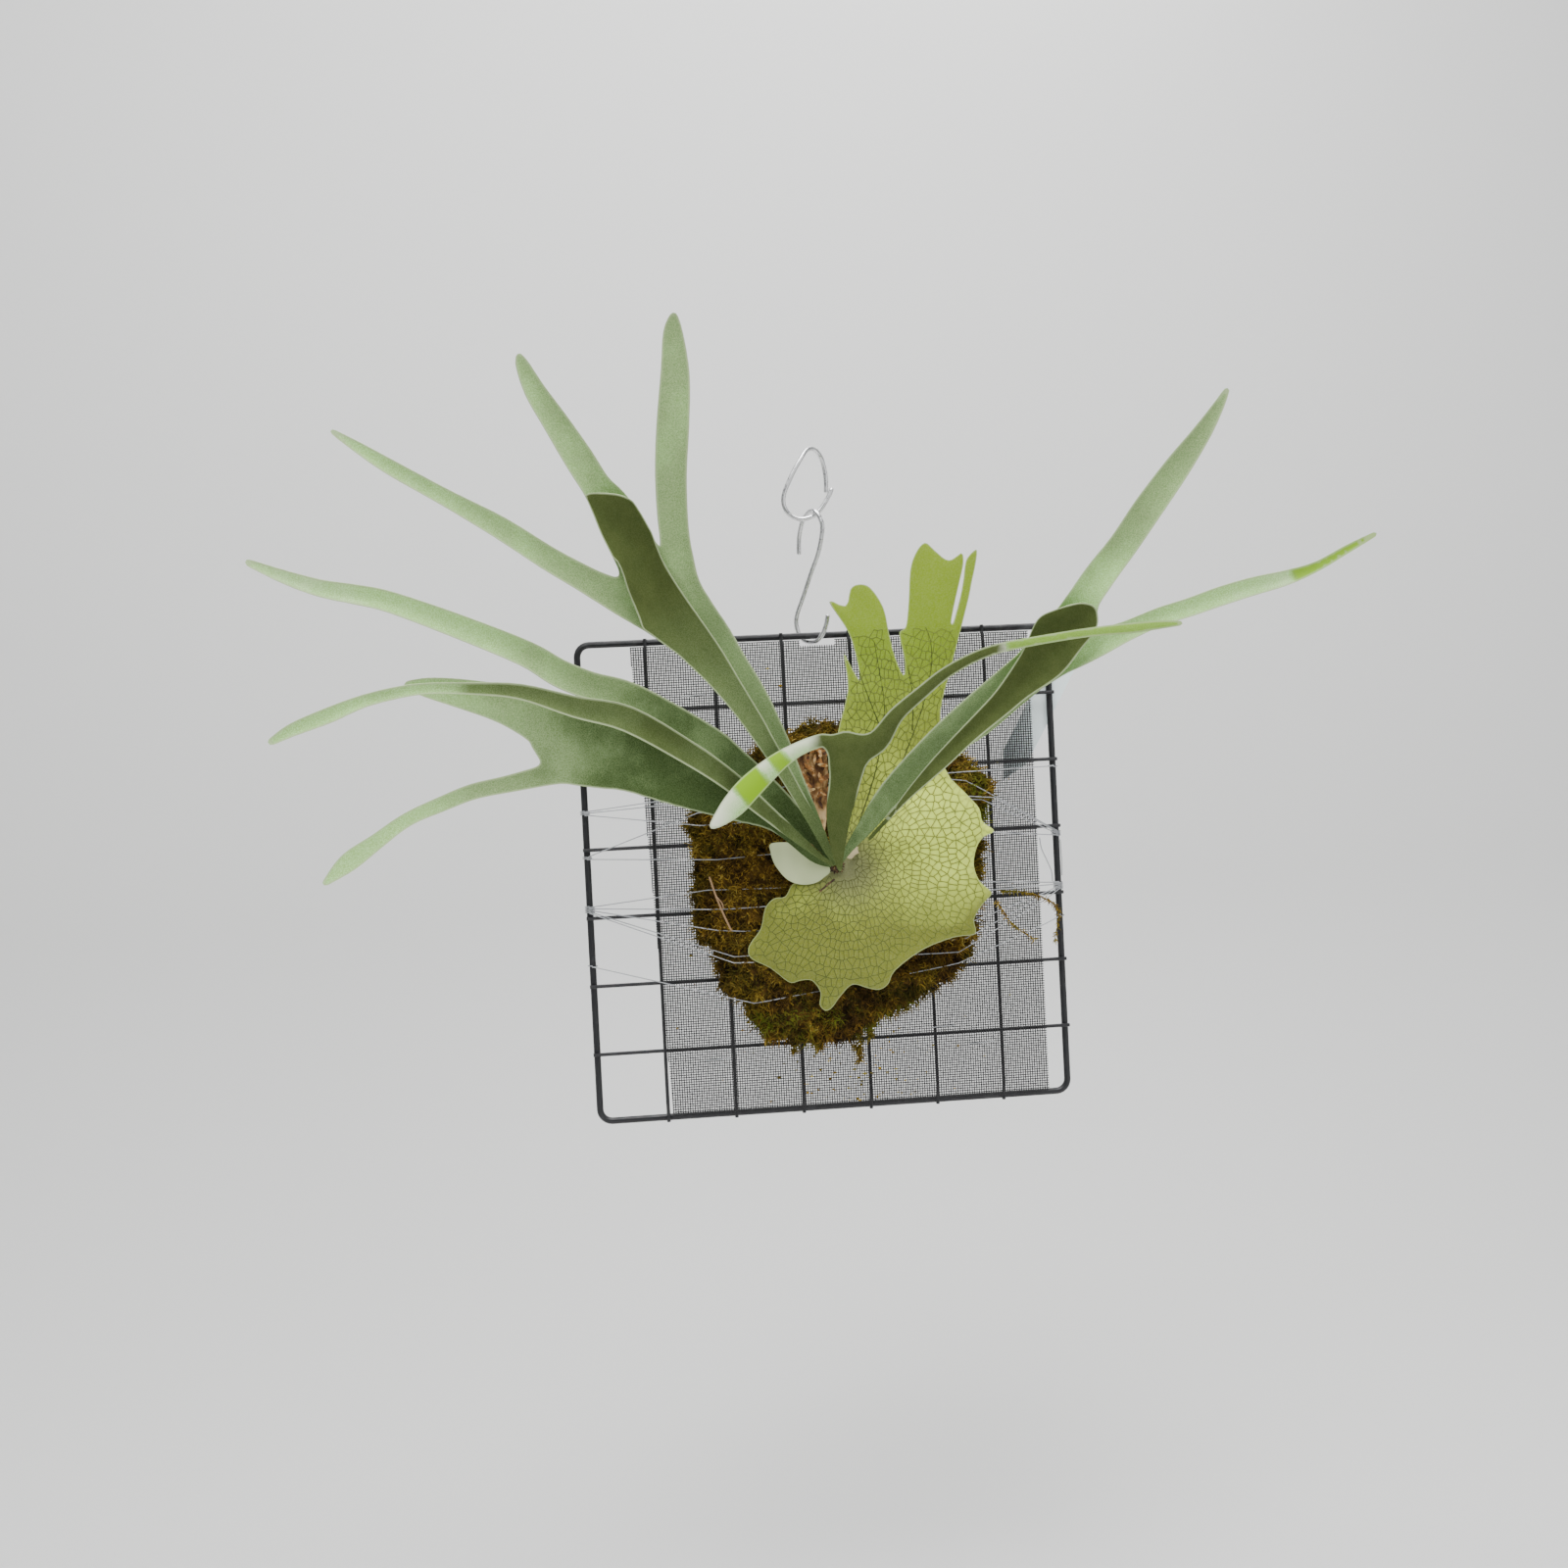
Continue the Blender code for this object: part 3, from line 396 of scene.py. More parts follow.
def resample(loop, step):
    ends = np.vstack([loop, loop[:1]])
    lengths = np.hypot(*np.diff(ends, axis=0).T)
    along = np.concatenate([[0], np.cumsum(lengths)])
    count = max(4, round(along[-1] / step))
    at = np.linspace(0, along[-1], count, endpoint=False)
    return np.column_stack([np.interp(at, along, ends[:, 0]), np.interp(at, along, ends[:, 1])])


def fill(loop, cell):
    """Triangles filling a loop round a lattice of points: the points, the triangles, and which points are
    the loop's."""
    low, high = loop.min(axis=0), loop.max(axis=0)
    rows = int((high[1] - low[1]) / (cell * 0.866)) + 1
    columns = int((high[0] - low[0]) / cell) + 1
    j, i = np.mgrid[0:rows, 0:columns]
    lattice = np.stack([low[0] + (i + 0.5 * (j % 2)) * cell, low[1] + j * cell * 0.866], axis=-1)
    lattice = lattice.reshape(-1, 2)
    inner = lattice[signed_distance(lattice, loop) < -0.5 * cell]
    points = [Vector(p) for p in np.vstack([loop, inner])]
    found = delaunay_2d_cdt(points, [], [list(range(len(loop)))], 1, 1e-5)
    place_of = {o: k for k, source in enumerate(found[3]) for o in source}
    return np.array(found[0]), np.array(found[2]), [place_of[k] for k in range(len(loop))]


def normals_of(points, triangles):
    """Vertex normals that point towards +Y."""
    a, b, c = (points[triangles[:, k]] for k in range(3))
    face = np.cross(b - a, c - a)
    face[face[:, 1] < 0] *= -1
    out = np.zeros_like(points)
    for k in range(3):
        np.add.at(out, triangles[:, k], face)
    return out / np.maximum(np.linalg.norm(out, axis=1, keepdims=True), 1e-9)


def add_piece(name, data, finish, body, replaces):
    data.materials.append(finish)
    obj = bpy.data.objects.new(name, data)
    bpy.context.collection.objects.link(obj)
    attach(obj, body)
    if replaces:
        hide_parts(*replaces)
    return obj


def mesh_piece(name, points, faces, finish, body="panel", replaces=(), values=None):
    """A mesh piece from panel millimetres; values maps an attribute's name to one number per vertex."""
    mesh = bpy.data.meshes.new(name)
    mesh.from_pydata(world(points).tolist(), [], [list(map(int, f)) for f in faces])
    for key, numbers in (values or {}).items():
        layer = mesh.attributes.new(key, "FLOAT", "POINT")
        layer.data.foreach_set("value", np.asarray(numbers, np.float32))
    bm = bmesh.new()
    bm.from_mesh(mesh)
    bmesh.ops.recalc_face_normals(bm, faces=bm.faces)
    bm.to_mesh(mesh)
    bm.free()
    mesh.shade_smooth()
    mesh.set_sharp_from_angle(angle=math.radians(60))
    return add_piece(name, mesh, finish, body, replaces)


def two_sheets(flat, depth, triangles, rim, thick=None):
    """A closed leaf from its flat triangles, depth and thickness; without one its back lies on the mesh."""
    front = np.column_stack([flat[:, 0], depth, flat[:, 1]])
    if thick is None:
        back = front.copy()
        back[:, 1] = MOSS_BACK
    else:
        back = front + normals_of(front, triangles) * np.reshape(thick, (-1, 1))
    count = len(front)
    faces = [tuple(f) for f in triangles] + [tuple(f[::-1] + count) for f in triangles]
    for i, j in zip(rim, rim[1:] + rim[:1]):
        faces.append((j, i, i + count, j + count))
    return np.vstack([front, back]), faces


def tube_mesh(paths, radii, sides=4):
    """Points and faces of a tube along each path; radii holds one number or one row per path.

    Also returns which path each point belongs to."""
    points, faces, owner = [], [], []
    start = 0
    for k, (path, radius) in enumerate(zip(paths, radii)):
        path = np.asarray(path, float)
        count = len(path)
        radius = np.broadcast_to(radius, (count,))
        tangent = np.gradient(path, axis=0)
        tangent /= np.maximum(np.linalg.norm(tangent, axis=1, keepdims=True), 1e-9)
        side = np.cross(tangent[0], (0, 0, 1) if abs(tangent[0][2]) < 0.8 else (0, 1, 0))
        angles = np.arange(sides) * math.tau / sides
        for i in range(count):
            side = side - tangent[i] * np.dot(side, tangent[i])
            side /= max(np.linalg.norm(side), 1e-9)
            other = np.cross(tangent[i], side)
            around = np.cos(angles)[:, None] * side + np.sin(angles)[:, None] * other
            points.append(path[i] + radius[i] * around)
        owner += [k] * (count * sides)
        for i in range(count - 1):
            a, b = start + i * sides, start + (i + 1) * sides
            for s in range(sides):
                t = (s + 1) % sides
                faces.append((a + s, a + t, b + t, b + s))
        faces.append(tuple(start + s for s in range(sides))[::-1])
        faces.append(tuple(start + (count - 1) * sides + s for s in range(sides)))
        start += count * sides
    return np.vstack(points), faces, np.array(owner)


# Materials

class Shader:
    """A Principled material with short names for the nodes that feed it."""

    def __init__(self, name, roughness=0.6, metallic=0.0, **uniform):
        self.material = bpy.data.materials.new(name)
        self.material.use_nodes = True
        self.tree = self.material.node_tree
        self.principled = self.tree.nodes["Principled BSDF"]
        self.principled.inputs["Roughness"].default_value = roughness
        self.principled.inputs["Metallic"].default_value = metallic
        for key, value in uniform.items():
            self.principled.inputs[key.replace("_", " ")].default_value = value
        self.where = self.tree.nodes.new("ShaderNodeTexCoord").outputs["Object"]

    def link(self, value, socket):
        if isinstance(value, bpy.types.NodeSocket):
            self.tree.links.new(value, socket)
        else:
            socket.default_value = value

    def node(self, kind, inputs):
        """A new node with its inputs linked or set."""
        node = self.tree.nodes.new("ShaderNode" + kind)
        for key, value in inputs.items():
            self.link(value, node.inputs[key])
        return node

    def stretch(self, x, y, z):
        return self.node("Mapping", {"Vector": self.where, "Scale": (x, y, z)}).outputs["Vector"]

    def noise(self, scale, detail=3.0, roughness=0.55, where=None):
        return self.node("TexNoise", {"Vector": where or self.where, "Scale": scale, "Detail": detail,
                                      "Roughness": roughness}).outputs["Fac"]

    def voronoi(self, scale):
        return self.node("TexVoronoi", {"Vector": self.where, "Scale": scale}).outputs["Distance"]

    def attribute(self, name):
        node = self.node("Attribute", {})
        node.attribute_name = name
        return node.outputs["Fac"]

    def ramp(self, value, low, high, to_low=0.0, to_high=1.0):
        node = self.node("MapRange", {"Value": value, "From Min": low, "From Max": high, "To Min": to_low,
                                      "To Max": to_high})
        node.interpolation_type = "SMOOTHSTEP"
        return node.outputs["Result"]

    def math(self, kind, a, b):
        node = self.node("Math", {0: a, 1: b})
        node.operation = kind
        return node.outputs[0]

    def mix(self, share, a, b):
        node = self.node("Mix", {"Factor": share})
        node.data_type = "RGBA"
        for value, socket in ((a, node.inputs[6]), (b, node.inputs[7])):
            self.link(value if isinstance(value, bpy.types.NodeSocket) else (*value, 1.0), socket)
        return node.outputs[2]

    def bump(self, height, distance, strength=1.0):
        node = self.node("Bump", {"Height": height, "Distance": distance, "Strength": strength})
        self.link(node.outputs["Normal"], self.principled.inputs["Normal"])

    def colour(self, value):
        self.link(value, self.principled.inputs["Base Color"])

    def set(self, key, value):
        self.link(value, self.principled.inputs[key])


def felt_leaf():
    """Frond: silvery felt above, olive below darkened further by painted shade, a thin pale margin; "pale"
    runs from dark green to silver.
    """
    s = Shader("felt_leaf", roughness=0.8, Specular_IOR_Level=0.12)
    speckle = s.ramp(s.noise(1500.0, 2.0, 0.6), 0.36, 0.64)
    patches = s.noise(28.0, 3.0)
    pale = s.math("ADD", s.attribute("pale"), s.ramp(patches, 0.35, 0.7, -0.10, 0.10))
    dark = s.mix(speckle, (0.045, 0.078, 0.020), (0.095, 0.145, 0.048))
    middle = s.mix(speckle, (0.210, 0.325, 0.120), (0.350, 0.480, 0.220))
    silver = s.mix(speckle, (0.360, 0.640, 0.190), (0.560, 0.870, 0.370))
    above = s.mix(s.ramp(pale, 0.0, 0.5), dark, middle)
    above = s.mix(s.ramp(pale, 0.45, 1.0), above, silver)
    above = s.mix(s.ramp(pale, 1.0, 1.5), above, (0.90, 0.97, 0.72))
    streaks = s.noise(90.0, 3.0, 0.6)
    # The underside: its own olive colour, darkened further with painted shade
    below = s.mix(streaks, (0.044, 0.064, 0.014), (0.090, 0.116, 0.031))
    below = s.mix(s.ramp(speckle, 0.0, 1.0, 0.0, 0.14), below, (0.22, 0.27, 0.11))
    colour = s.mix(s.attribute("under"), above, below)
    # Lime-green bands, partly painted sunlight shining through the leaf
    colour = s.mix(s.attribute("lime_and_sunlight"), colour, (0.290, 0.550, 0.010))
    colour = s.mix(s.ramp(s.attribute("rim"), 0.4, 1.5, 0.62, 0.0), colour, (0.50, 0.60, 0.34))
    s.colour(colour)
    s.bump(speckle, 0.00015, 0.35)
    return s.material


def shield_leaf(name, bright, painted_shade, vein):
    """Shield frond: darker along the modelled veins, greyer round the bud, and in painted shade where its
    shade attribute is high.
    """
    s = Shader(name, roughness=0.6, Specular_IOR_Level=0.2)
    patches = s.ramp(s.noise(22.0, 3.0), 0.35, 0.7, -0.15, 0.15)
    # Painted shade: the attribute blends the lit colour into the shaded one
    colour = s.mix(s.math("ADD", s.attribute("painted_shade"), patches), bright, painted_shade)
    colour = s.mix(s.attribute("crown"), colour, (0.225, 0.335, 0.012))
    net = s.ramp(s.attribute("net"), 0.0, 1.0, 0.38, 0.0)
    colour = s.mix(net, colour, vein)
    near = s.ramp(s.attribute("reach"), 2.0, 42.0, 0.9, 0.0)
    colour = s.mix(near, colour, (0.165, 0.165, 0.085))
    felt = s.noise(900.0, 2.0, 0.7)
    colour = s.mix(s.ramp(felt, 0.3, 0.7, 0.0, 0.10), colour, (0.62, 0.68, 0.40))
    colour = s.mix(s.ramp(s.attribute("rim"), 0.2, 1.0, 0.4, 0.0), colour, (0.56, 0.66, 0.34))
    s.colour(colour)
    s.bump(felt, 0.0002, 0.4)
    return s.material


def dry_leaf():
    s = Shader("dry_leaf", roughness=0.8)
    fibres = s.noise(110.0, 4.0, 0.7, s.stretch(1.0, 1.0, 0.35))
    chips = s.ramp(s.voronoi(150.0), 0.15, 0.6)
    colour = s.mix(s.ramp(fibres, 0.35, 0.62), (0.075, 0.026, 0.006), (0.42, 0.22, 0.065))
    colour = s.mix(s.math("MULTIPLY", chips, s.ramp(fibres, 0.45, 0.7)), colour, (0.72, 0.50, 0.26))
    s.colour(colour)
    s.bump(s.math("ADD", fibres, chips), 0.0012)
    return s.material


def moss_green():
    """Dry moss: each fibre has its own tone, from dark brown through gold to olive; the tone also carries
    painted shade in the moss's hollows.
    """
    s = Shader("dry_moss", roughness=0.9, Specular_IOR_Level=0.2)
    tone = s.attribute("tone")
    brown = s.mix(s.ramp(tone, 0.0, 0.45), (0.016, 0.008, 0.002), (0.105, 0.056, 0.008))
    gold = s.mix(s.ramp(tone, 0.4, 0.8), brown, (0.300, 0.180, 0.022))
    olive = s.mix(s.ramp(tone, 0.75, 1.0), gold, (0.480, 0.370, 0.085))
    green = s.mix(s.math("MULTIPLY", s.attribute("green"), s.ramp(s.noise(40.0), 0.35, 0.65)),
                  olive, (0.130, 0.150, 0.012))
    s.colour(green)
    s.bump(s.noise(900.0, 3.0), 0.0006)
    return s.material


def bud_scales():
    s = Shader("bud_scales", roughness=0.85)
    scales = s.voronoi(420.0)
    s.colour(s.mix(s.ramp(scales, 0.1, 0.7), (0.20, 0.12, 0.05), (0.045, 0.026, 0.012)))
    s.bump(scales, 0.0008)
    return s.material


def black_coat():
    s = Shader("black_coat", roughness=0.42, Specular_IOR_Level=0.45)
    worn = s.ramp(s.noise(60.0, 4.0), 0.55, 0.75)
    s.colour(s.mix(worn, (0.012, 0.012, 0.014), (0.045, 0.045, 0.047)))
    s.set("Roughness", s.ramp(s.noise(140.0, 3.0), 0.3, 0.7, 0.32, 0.55))
    s.bump(s.noise(1500.0, 2.0), 0.00012, 0.5)
    return s.material


def mesh_thread():
    s = Shader("mesh_thread", roughness=0.6)
    s.colour(s.mix(s.noise(35.0, 3.0), (0.006, 0.006, 0.007), (0.018, 0.018, 0.020)))
    return s.material


def zinc_wire():
    s = Shader("zinc_wire", roughness=0.25, metallic=1.0)
    spangle = s.noise(240.0, 4.0, 0.6)
    s.colour(s.mix(spangle, (0.66, 0.66, 0.67), (0.93, 0.93, 0.93)))
    s.set("Roughness", s.ramp(spangle, 0.3, 0.7, 0.18, 0.38))
    s.bump(spangle, 0.00015, 0.4)
    return s.material


def monofilament():
    s = Shader("monofilament", roughness=0.22, Transmission_Weight=0.35, IOR=1.5, Specular_IOR_Level=0.6)
    s.colour(s.mix(s.noise(120.0, 2.0), (0.42, 0.44, 0.46), (0.62, 0.63, 0.64)))
    return s.material


def label_plastic():
    s = Shader("label_plastic", roughness=0.4, Specular_IOR_Level=0.5)
    s.colour(s.mix(s.noise(30.0, 4.0), (0.84, 0.98, 0.99), (0.92, 1.0, 1.0)))
    s.set("Roughness", s.ramp(s.noise(90.0, 3.0), 0.3, 0.7, 0.3, 0.5))
    s.bump(s.noise(400.0, 3.0), 0.0001, 0.4)
    return s.material


def plain(name, colour, roughness):
    s = Shader(name, roughness=roughness)
    s.colour(s.mix(s.noise(2.0, 2.0), colour, tuple(c * 0.985 for c in colour)))
    return s.material


# Fronds

def frond_depth(shape, stations, flat):
    """How far forward each place of the frond stands: it rises from the bud and is a shallow gutter."""
    field = frond_field(shape["branches"], flat)
    reach = distance_to(flat, BUD)
    weights = np.exp(-np.hypot(*(flat[:, None] - stations[None, :, :2]).transpose(2, 0, 1)) / 9)
    width = (weights * stations[:, 2]).sum(axis=1) / weights.sum(axis=1)
    edge = clamp(1 + field / np.maximum(width, 1))
    depth = -shape["at"] - FROND_RISE * reach - shape["cup"] * width * edge * edge
    sway = ripple(flat, 0.02, 0.02, shape["at"])
    return depth + sway * 2.0 * clamp(reach / 120), field, reach


def frond_tones(name, shape, flat, reach):
    """How silvery each place of the frond is, and how lime green, which is partly painted sunlight."""
    start, end, least, most = shape["pale"]
    pale = least + (most - least) * clamp((reach - start) / (end - start))
    sides = 0.5 * clamp((np.abs(flat[:, 0] + 40) - 120) / 170)
    sides *= np.where(flat[:, 0] > 0, clamp((55 - flat[:, 1]) / 40), 1)
    pale = pale * np.clip((reach - 5) / 25, 0.3, 1) + sides
    lime_and_sunlight = np.zeros(len(flat))
    for owner, at, way, first, last, share in LIME_AND_SUNLIGHT:
        if owner == name:
            # Lime band along the branch, partly painted sunlight
            along, across = (flat - at) @ way, (flat - at) @ (-way[1], way[0])
            band = clamp((along - first) / 2.5) * clamp((last - along) / 2.5)
            band *= clamp((18 - np.abs(across)) / 3)
            lime_and_sunlight = np.maximum(lime_and_sunlight, band * share)
            pale = pale * (1 - 0.7 * band)
    return pale, lime_and_sunlight


def frond(name, shape, finish):
    """A frond, and the flap of its underside where it is folded over."""
    branches = shape["branches"]
    stations = np.array([station for branch in branches for station in branch], float)
    low = (stations[:, :2] - stations[:, 2:]).min(axis=0) - 8
    high = (stations[:, :2] + stations[:, 2:]).max(axis=0) + 8
    xs, zs = (np.arange(low[k], high[k], FROND_GRID) for k in (0, 1))
    grid = np.array(np.meshgrid(xs, zs, indexing="ij")).reshape(2, -1).T
    outlines = [frond_field(branches, grid)]
    under = np.array(shape["under"], float)
    if shape["lift"]:
        under = smooth_path(under, 4, closed=True)
        outlines.append(np.maximum(outlines[0] - shape["spill"], signed_distance(grid, under)))
    points, faces = np.zeros((0, 3)), []
    values = {key: [] for key in ("under", "rim", "lime_and_sunlight", "pale")}
    for is_flap, outline in enumerate(outlines):
        loop = resample(trace(outline.reshape(len(xs), len(zs)), low, FROND_GRID), 2.0)
        flat, triangles, rim = fill(loop, FLAP_CELL if is_flap else FROND_CELL)
        depth, field, reach = frond_depth(shape, stations, flat)
        # Share of the underside colour, which is partly painted shade
        dark = np.full(len(flat), float(is_flap))
        thick = 0.6 + 0.9 * clamp(-field / 4)
        if is_flap:
            thick *= 0.5
            dark *= shape["fade"] + (1 - shape["fade"]) * clamp((reach - 130) / 90)
            lift = shape["lift"] * clamp((reach - 25) / 70)
            depth -= FLAP_GAP + lift * np.exp(-loop_distance(flat, under) / 15)
        elif len(under) and not shape["lift"]:
            dark = clamp(0.5 - signed_distance(flat, under) / 10) * shape.get("shade", 1.0)
        more_points, more_faces = two_sheets(flat, depth, triangles, rim, thick)
        faces += [tuple(k + len(points) for k in face) for face in more_faces]
        points = np.vstack([points, more_points])
        # No pale margin where the frond is only a few millimetres wide
        margin = loop_distance(flat, loop) * (1.6 if is_flap else 1.0) + 3 * clamp((55 - reach) / 25)
        pale, lime_and_sunlight = frond_tones(name, shape, flat, reach)
        values["under"] += [dark, 1 - dark]
        for key, numbers in (("rim", margin), ("lime_and_sunlight", lime_and_sunlight), ("pale", pale)):
            values[key] += [numbers, numbers]
    values = {key: np.concatenate(rows) for key, rows in values.items()}
    mesh_piece(name.replace("fertile_", "leaf_"), points, faces, finish, replaces=[name],
               values=values)


# Shields

def vein_seeds(rng):
    """Centres of the net's cells, in rings round the bud, a little finer up the crown."""
    seeds = []
    for first, last, size in ((-215, 52, 1.0), (52, 145, 0.92)):
        r, ring = 7.0, 0
        while r < 245:
            across, along = min(1.9 + 0.024 * r, 3.8) * size, min(6.8 + 0.03 * r, 9.0) * size
            count = max(3, int(math.radians(last - first) * r / across))
            for k in range(count):
                place = k + 0.5 * (ring % 2) + rng.uniform(-0.24, 0.24)
                a = math.radians(first + place * (last - first) / count)
                rr = r + rng.uniform(-0.22, 0.22) * along
                seeds.append((NET_AT[0] + rr * math.cos(a), NET_AT[1] + rr * math.sin(a)))
            r += along * 0.8
            ring += 1
    return np.array(seeds)


def shield_depth(points, loop):
    """The shield bulges over the moss, dips in at the bud and rolls back at its lower margin."""
    level, dome, curl, curl_width, top = 40.8, 11.0, 4.0, 14.0, -115
    reach = distance_to(points, (38, -198)) / 98
    margin = np.where(inside_loop(points, loop), loop_distance(points, loop), 0)
    share = np.clip(1 - margin / curl_width, 0, None)
    fade = clamp((top - points[:, 1]) / 40)
    outer = clamp((reach - 0.5) / 0.3)
    dip = 6.5 * np.exp(-(((points[:, 0] - BUD[0]) ** 2 + (points[:, 1] - BUD[1]) ** 2) / 22 ** 2))
    depth = -level - dome * np.clip(1 - reach * reach, 0, None) * fade
    depth = depth + curl * share * share * fade * outer + dip
    crown = clamp((points[:, 1] + 90) / 90)
    return depth - crown * 2.0 * np.sin((points[:, 0] - 30) / 7.0) - crown * crown * 2.5


def cell_edges(seeds):
    """The borders between the cells round the seeds: where each starts and where it ends."""
    found = delaunay_2d_cdt([Vector(s) for s in seeds], [], [], 0, 1e-5)
    points, triangles = np.array(found[0]), np.array(found[2])
    a, b, c = (points[triangles[:, k]] for k in range(3))
    d = 2 * (a[:, 0] * (b[:, 1] - c[:, 1]) + b[:, 0] * (c[:, 1] - a[:, 1]) + c[:, 0] * (a[:, 1] - b[:, 1]))
    aa, bb, cc = ((p * p).sum(axis=1) for p in (a, b, c))
    centre = np.column_stack([
        (aa * (b[:, 1] - c[:, 1]) + bb * (c[:, 1] - a[:, 1]) + cc * (a[:, 1] - b[:, 1])) / d,
        (aa * (c[:, 0] - b[:, 0]) + bb * (a[:, 0] - c[:, 0]) + cc * (b[:, 0] - a[:, 0])) / d,
    ])
    shared = {}
    for t, triangle in enumerate(triangles):
        for i in range(3):
            shared.setdefault(frozenset((triangle[i], triangle[(i + 1) % 3])), []).append(t)
    pairs = np.array([t for t in shared.values() if len(t) == 2])
    return centre[pairs[:, 0]], centre[pairs[:, 1]]


def tree_of(points):
    tree = KDTree(len(points))
    for k, point in enumerate(points):
        tree.insert((*point, 0), k)
    tree.balance()
    return tree


def main_shield(finish, vein_finish):
    loop = resample(smooth_path(SHIELD_OUTLINE, 3, closed=True), 2.2)
    flat, triangles, rim = fill(loop, SHIELD_CELL)
    edge = loop_distance(flat, loop)
    seeds = vein_seeds(random.Random(4))
    tree = tree_of(seeds)

    def to_border(p):
        (_, _, first), (_, _, second) = tree.find_n((p[0], p[1], 0), 2)
        return (second - first) / 2

    x, z = flat[:, 0], flat[:, 1]
    net = np.array([to_border(p) for p in flat])
    net = net + 3.0 * clamp((z - NET_TOP + 20) / 20)
    quilt = clamp(net / 1.2) * clamp(edge / 4) * 0.35
    wave = ripple(flat, 0.03, 0.03, 3.0)
    depth = shield_depth(flat, loop) - quilt - wave * 1.2 * np.clip(edge / 10, 0.2, 1) + 0.4
    points, faces = two_sheets(flat, depth, triangles, rim, SHIELD_THICK)
    # Painted shade, darker on the lower part and its rolled-back margin, and painted light, lighter towards
    # the right above the bottom
    low_painted_shade = clamp((-z - 170) / 75)
    rolled_margin_shade = clamp(1 - edge / 10) * clamp((-z - 170) / 30)
    painted_light_right = clamp((x - 25) / 55) * clamp((z + 235) / 60) * clamp((-85 - z) / 40)
    painted_shade = np.clip(0.72 + 0.5 * low_painted_shade + 0.35 * rolled_margin_shade - 0.80 * painted_light_right, 0, 1.3)
    crown = clamp((z + 105) / 80)
    values = {"net": net, "reach": distance_to(flat, NET_AT), "rim": edge, "crown": crown, "painted_shade": painted_shade}
    values = {key: np.tile(numbers, 2) for key, numbers in values.items()}
    mesh_piece("leaf_main_shield", points, faces, finish, replaces=["main_shield_frond"],
               values=values)
    shield_veins(loop, seeds, flat, depth, vein_finish)


def shield_veins(loop, seeds, flat, depth, finish):
    """The net and the main veins, as thin tubes that lie half sunk in the shield's face."""
    surface = tree_of(flat)

    def on_surface(p):
        near = surface.find_n((p[0], p[1], 0), 3)
        weights = [1 / (n[2] + 0.05) for n in near]
        return sum(w * depth[n[1]] for w, n in zip(weights, near)) / sum(weights)

    paths, radii = [], []
    starts, ends = cell_edges(seeds)
    usable = np.hypot(*(ends - starts).T) < 20
    for side in (starts, ends):
        usable &= inside_loop(side, loop) & (loop_distance(side, loop) > 1.3)
        usable &= (distance_to(side, (6, -172)) >= 9) & (side[:, 1] <= NET_TOP)
    for a, b in zip(starts[usable], ends[usable]):
        steps = max(2, int(np.hypot(*(b - a)) / 2.5) + 1)
        line = [a + (b - a) * k / steps for k in range(steps + 1)]
        paths.append([(p[0], on_surface(p) - 0.02, p[1]) for p in line])
        radii.append(0.22)
    net_veins = len(paths)
    for vein in MAIN_VEINS:
        line = smooth_path(vein, 8)
        paths.append([(p[0], on_surface(p) + 0.1, p[1]) for p in line])
        radii.append(np.linspace(0.3, 0.6, len(line)))
    points, faces, owner = tube_mesh(paths, radii, sides=4)
    reach = distance_to(points[:, ::2], NET_AT)
    main = np.where(owner >= net_veins, 1, 0.7 * clamp((70 - points[:, 0]) / 60))
    mesh_piece("shield_veins", points, faces, finish, values={"reach": reach, "main": main})


def vein_material():
    s = Shader("shield_vein", roughness=0.7)
    colour = s.mix(s.ramp(s.noise(60.0, 2.0), 0.3, 0.7), (0.105, 0.135, 0.014), (0.165, 0.20, 0.024))
    colour = s.mix(s.ramp(s.attribute("reach"), 15.0, 75.0, 0.75, 0.0), colour, (0.17, 0.16, 0.060))
    colour = s.mix(s.attribute("main"), colour, (0.065, 0.082, 0.012))
    s.colour(colour)
    return s.material


def small_leaf(name, outline, level, dome, wrinkle, finish, replaces):
    loop = resample(smooth_path(outline, 4, closed=True), 1.8)
    flat, triangles, rim = fill(loop, 2.0)
    edge = loop_distance(flat, loop)
    swell = np.sqrt(clamp(edge / edge.max()))
    crinkle = ripple(flat, 0.15, 0.06, level)
    depth = -level - dome * swell + wrinkle * crinkle
    points, faces = two_sheets(flat, depth, triangles, rim, SMALL_LEAF_THICK)
    # Painted shade: darker where the wrinkles set the face back
    values = {"net": np.full(len(points), 3.0), "reach": np.full(len(points), 60.0), "rim": np.tile(edge, 2),
              "painted_shade": 0.3 + 0.3 * np.tile(crinkle, 2)}
    mesh_piece(name, points, faces, finish, replaces=replaces, values=values)


def bud(finish):
    """The growing tip where the fronds meet: small papery scales that point outwards."""
    rng = random.Random(5)
    paths, radii = [], []
    for k in range(60):
        turn, out = k * 2.4, 0.5 + 4.5 * math.sqrt(k / 60)
        away = np.array((math.cos(turn), -0.25, math.sin(turn)))
        foot = np.array((BUD[0], -46.0 + 0.5 * out, BUD[1])) + away * out
        size = rng.uniform(1.5, 3.0)
        paths.append([foot, foot + away * size * 0.5 + (0, -0.5, 0), foot + away * size + (0, 0.2, 0)])
        radii.append((0.7, 0.6, 0.12))
    points, faces, _ = tube_mesh(paths, radii, sides=4)
    mesh_piece("bud_scales", points, faces, finish, replaces=["rhizome_bud"])


# Moss

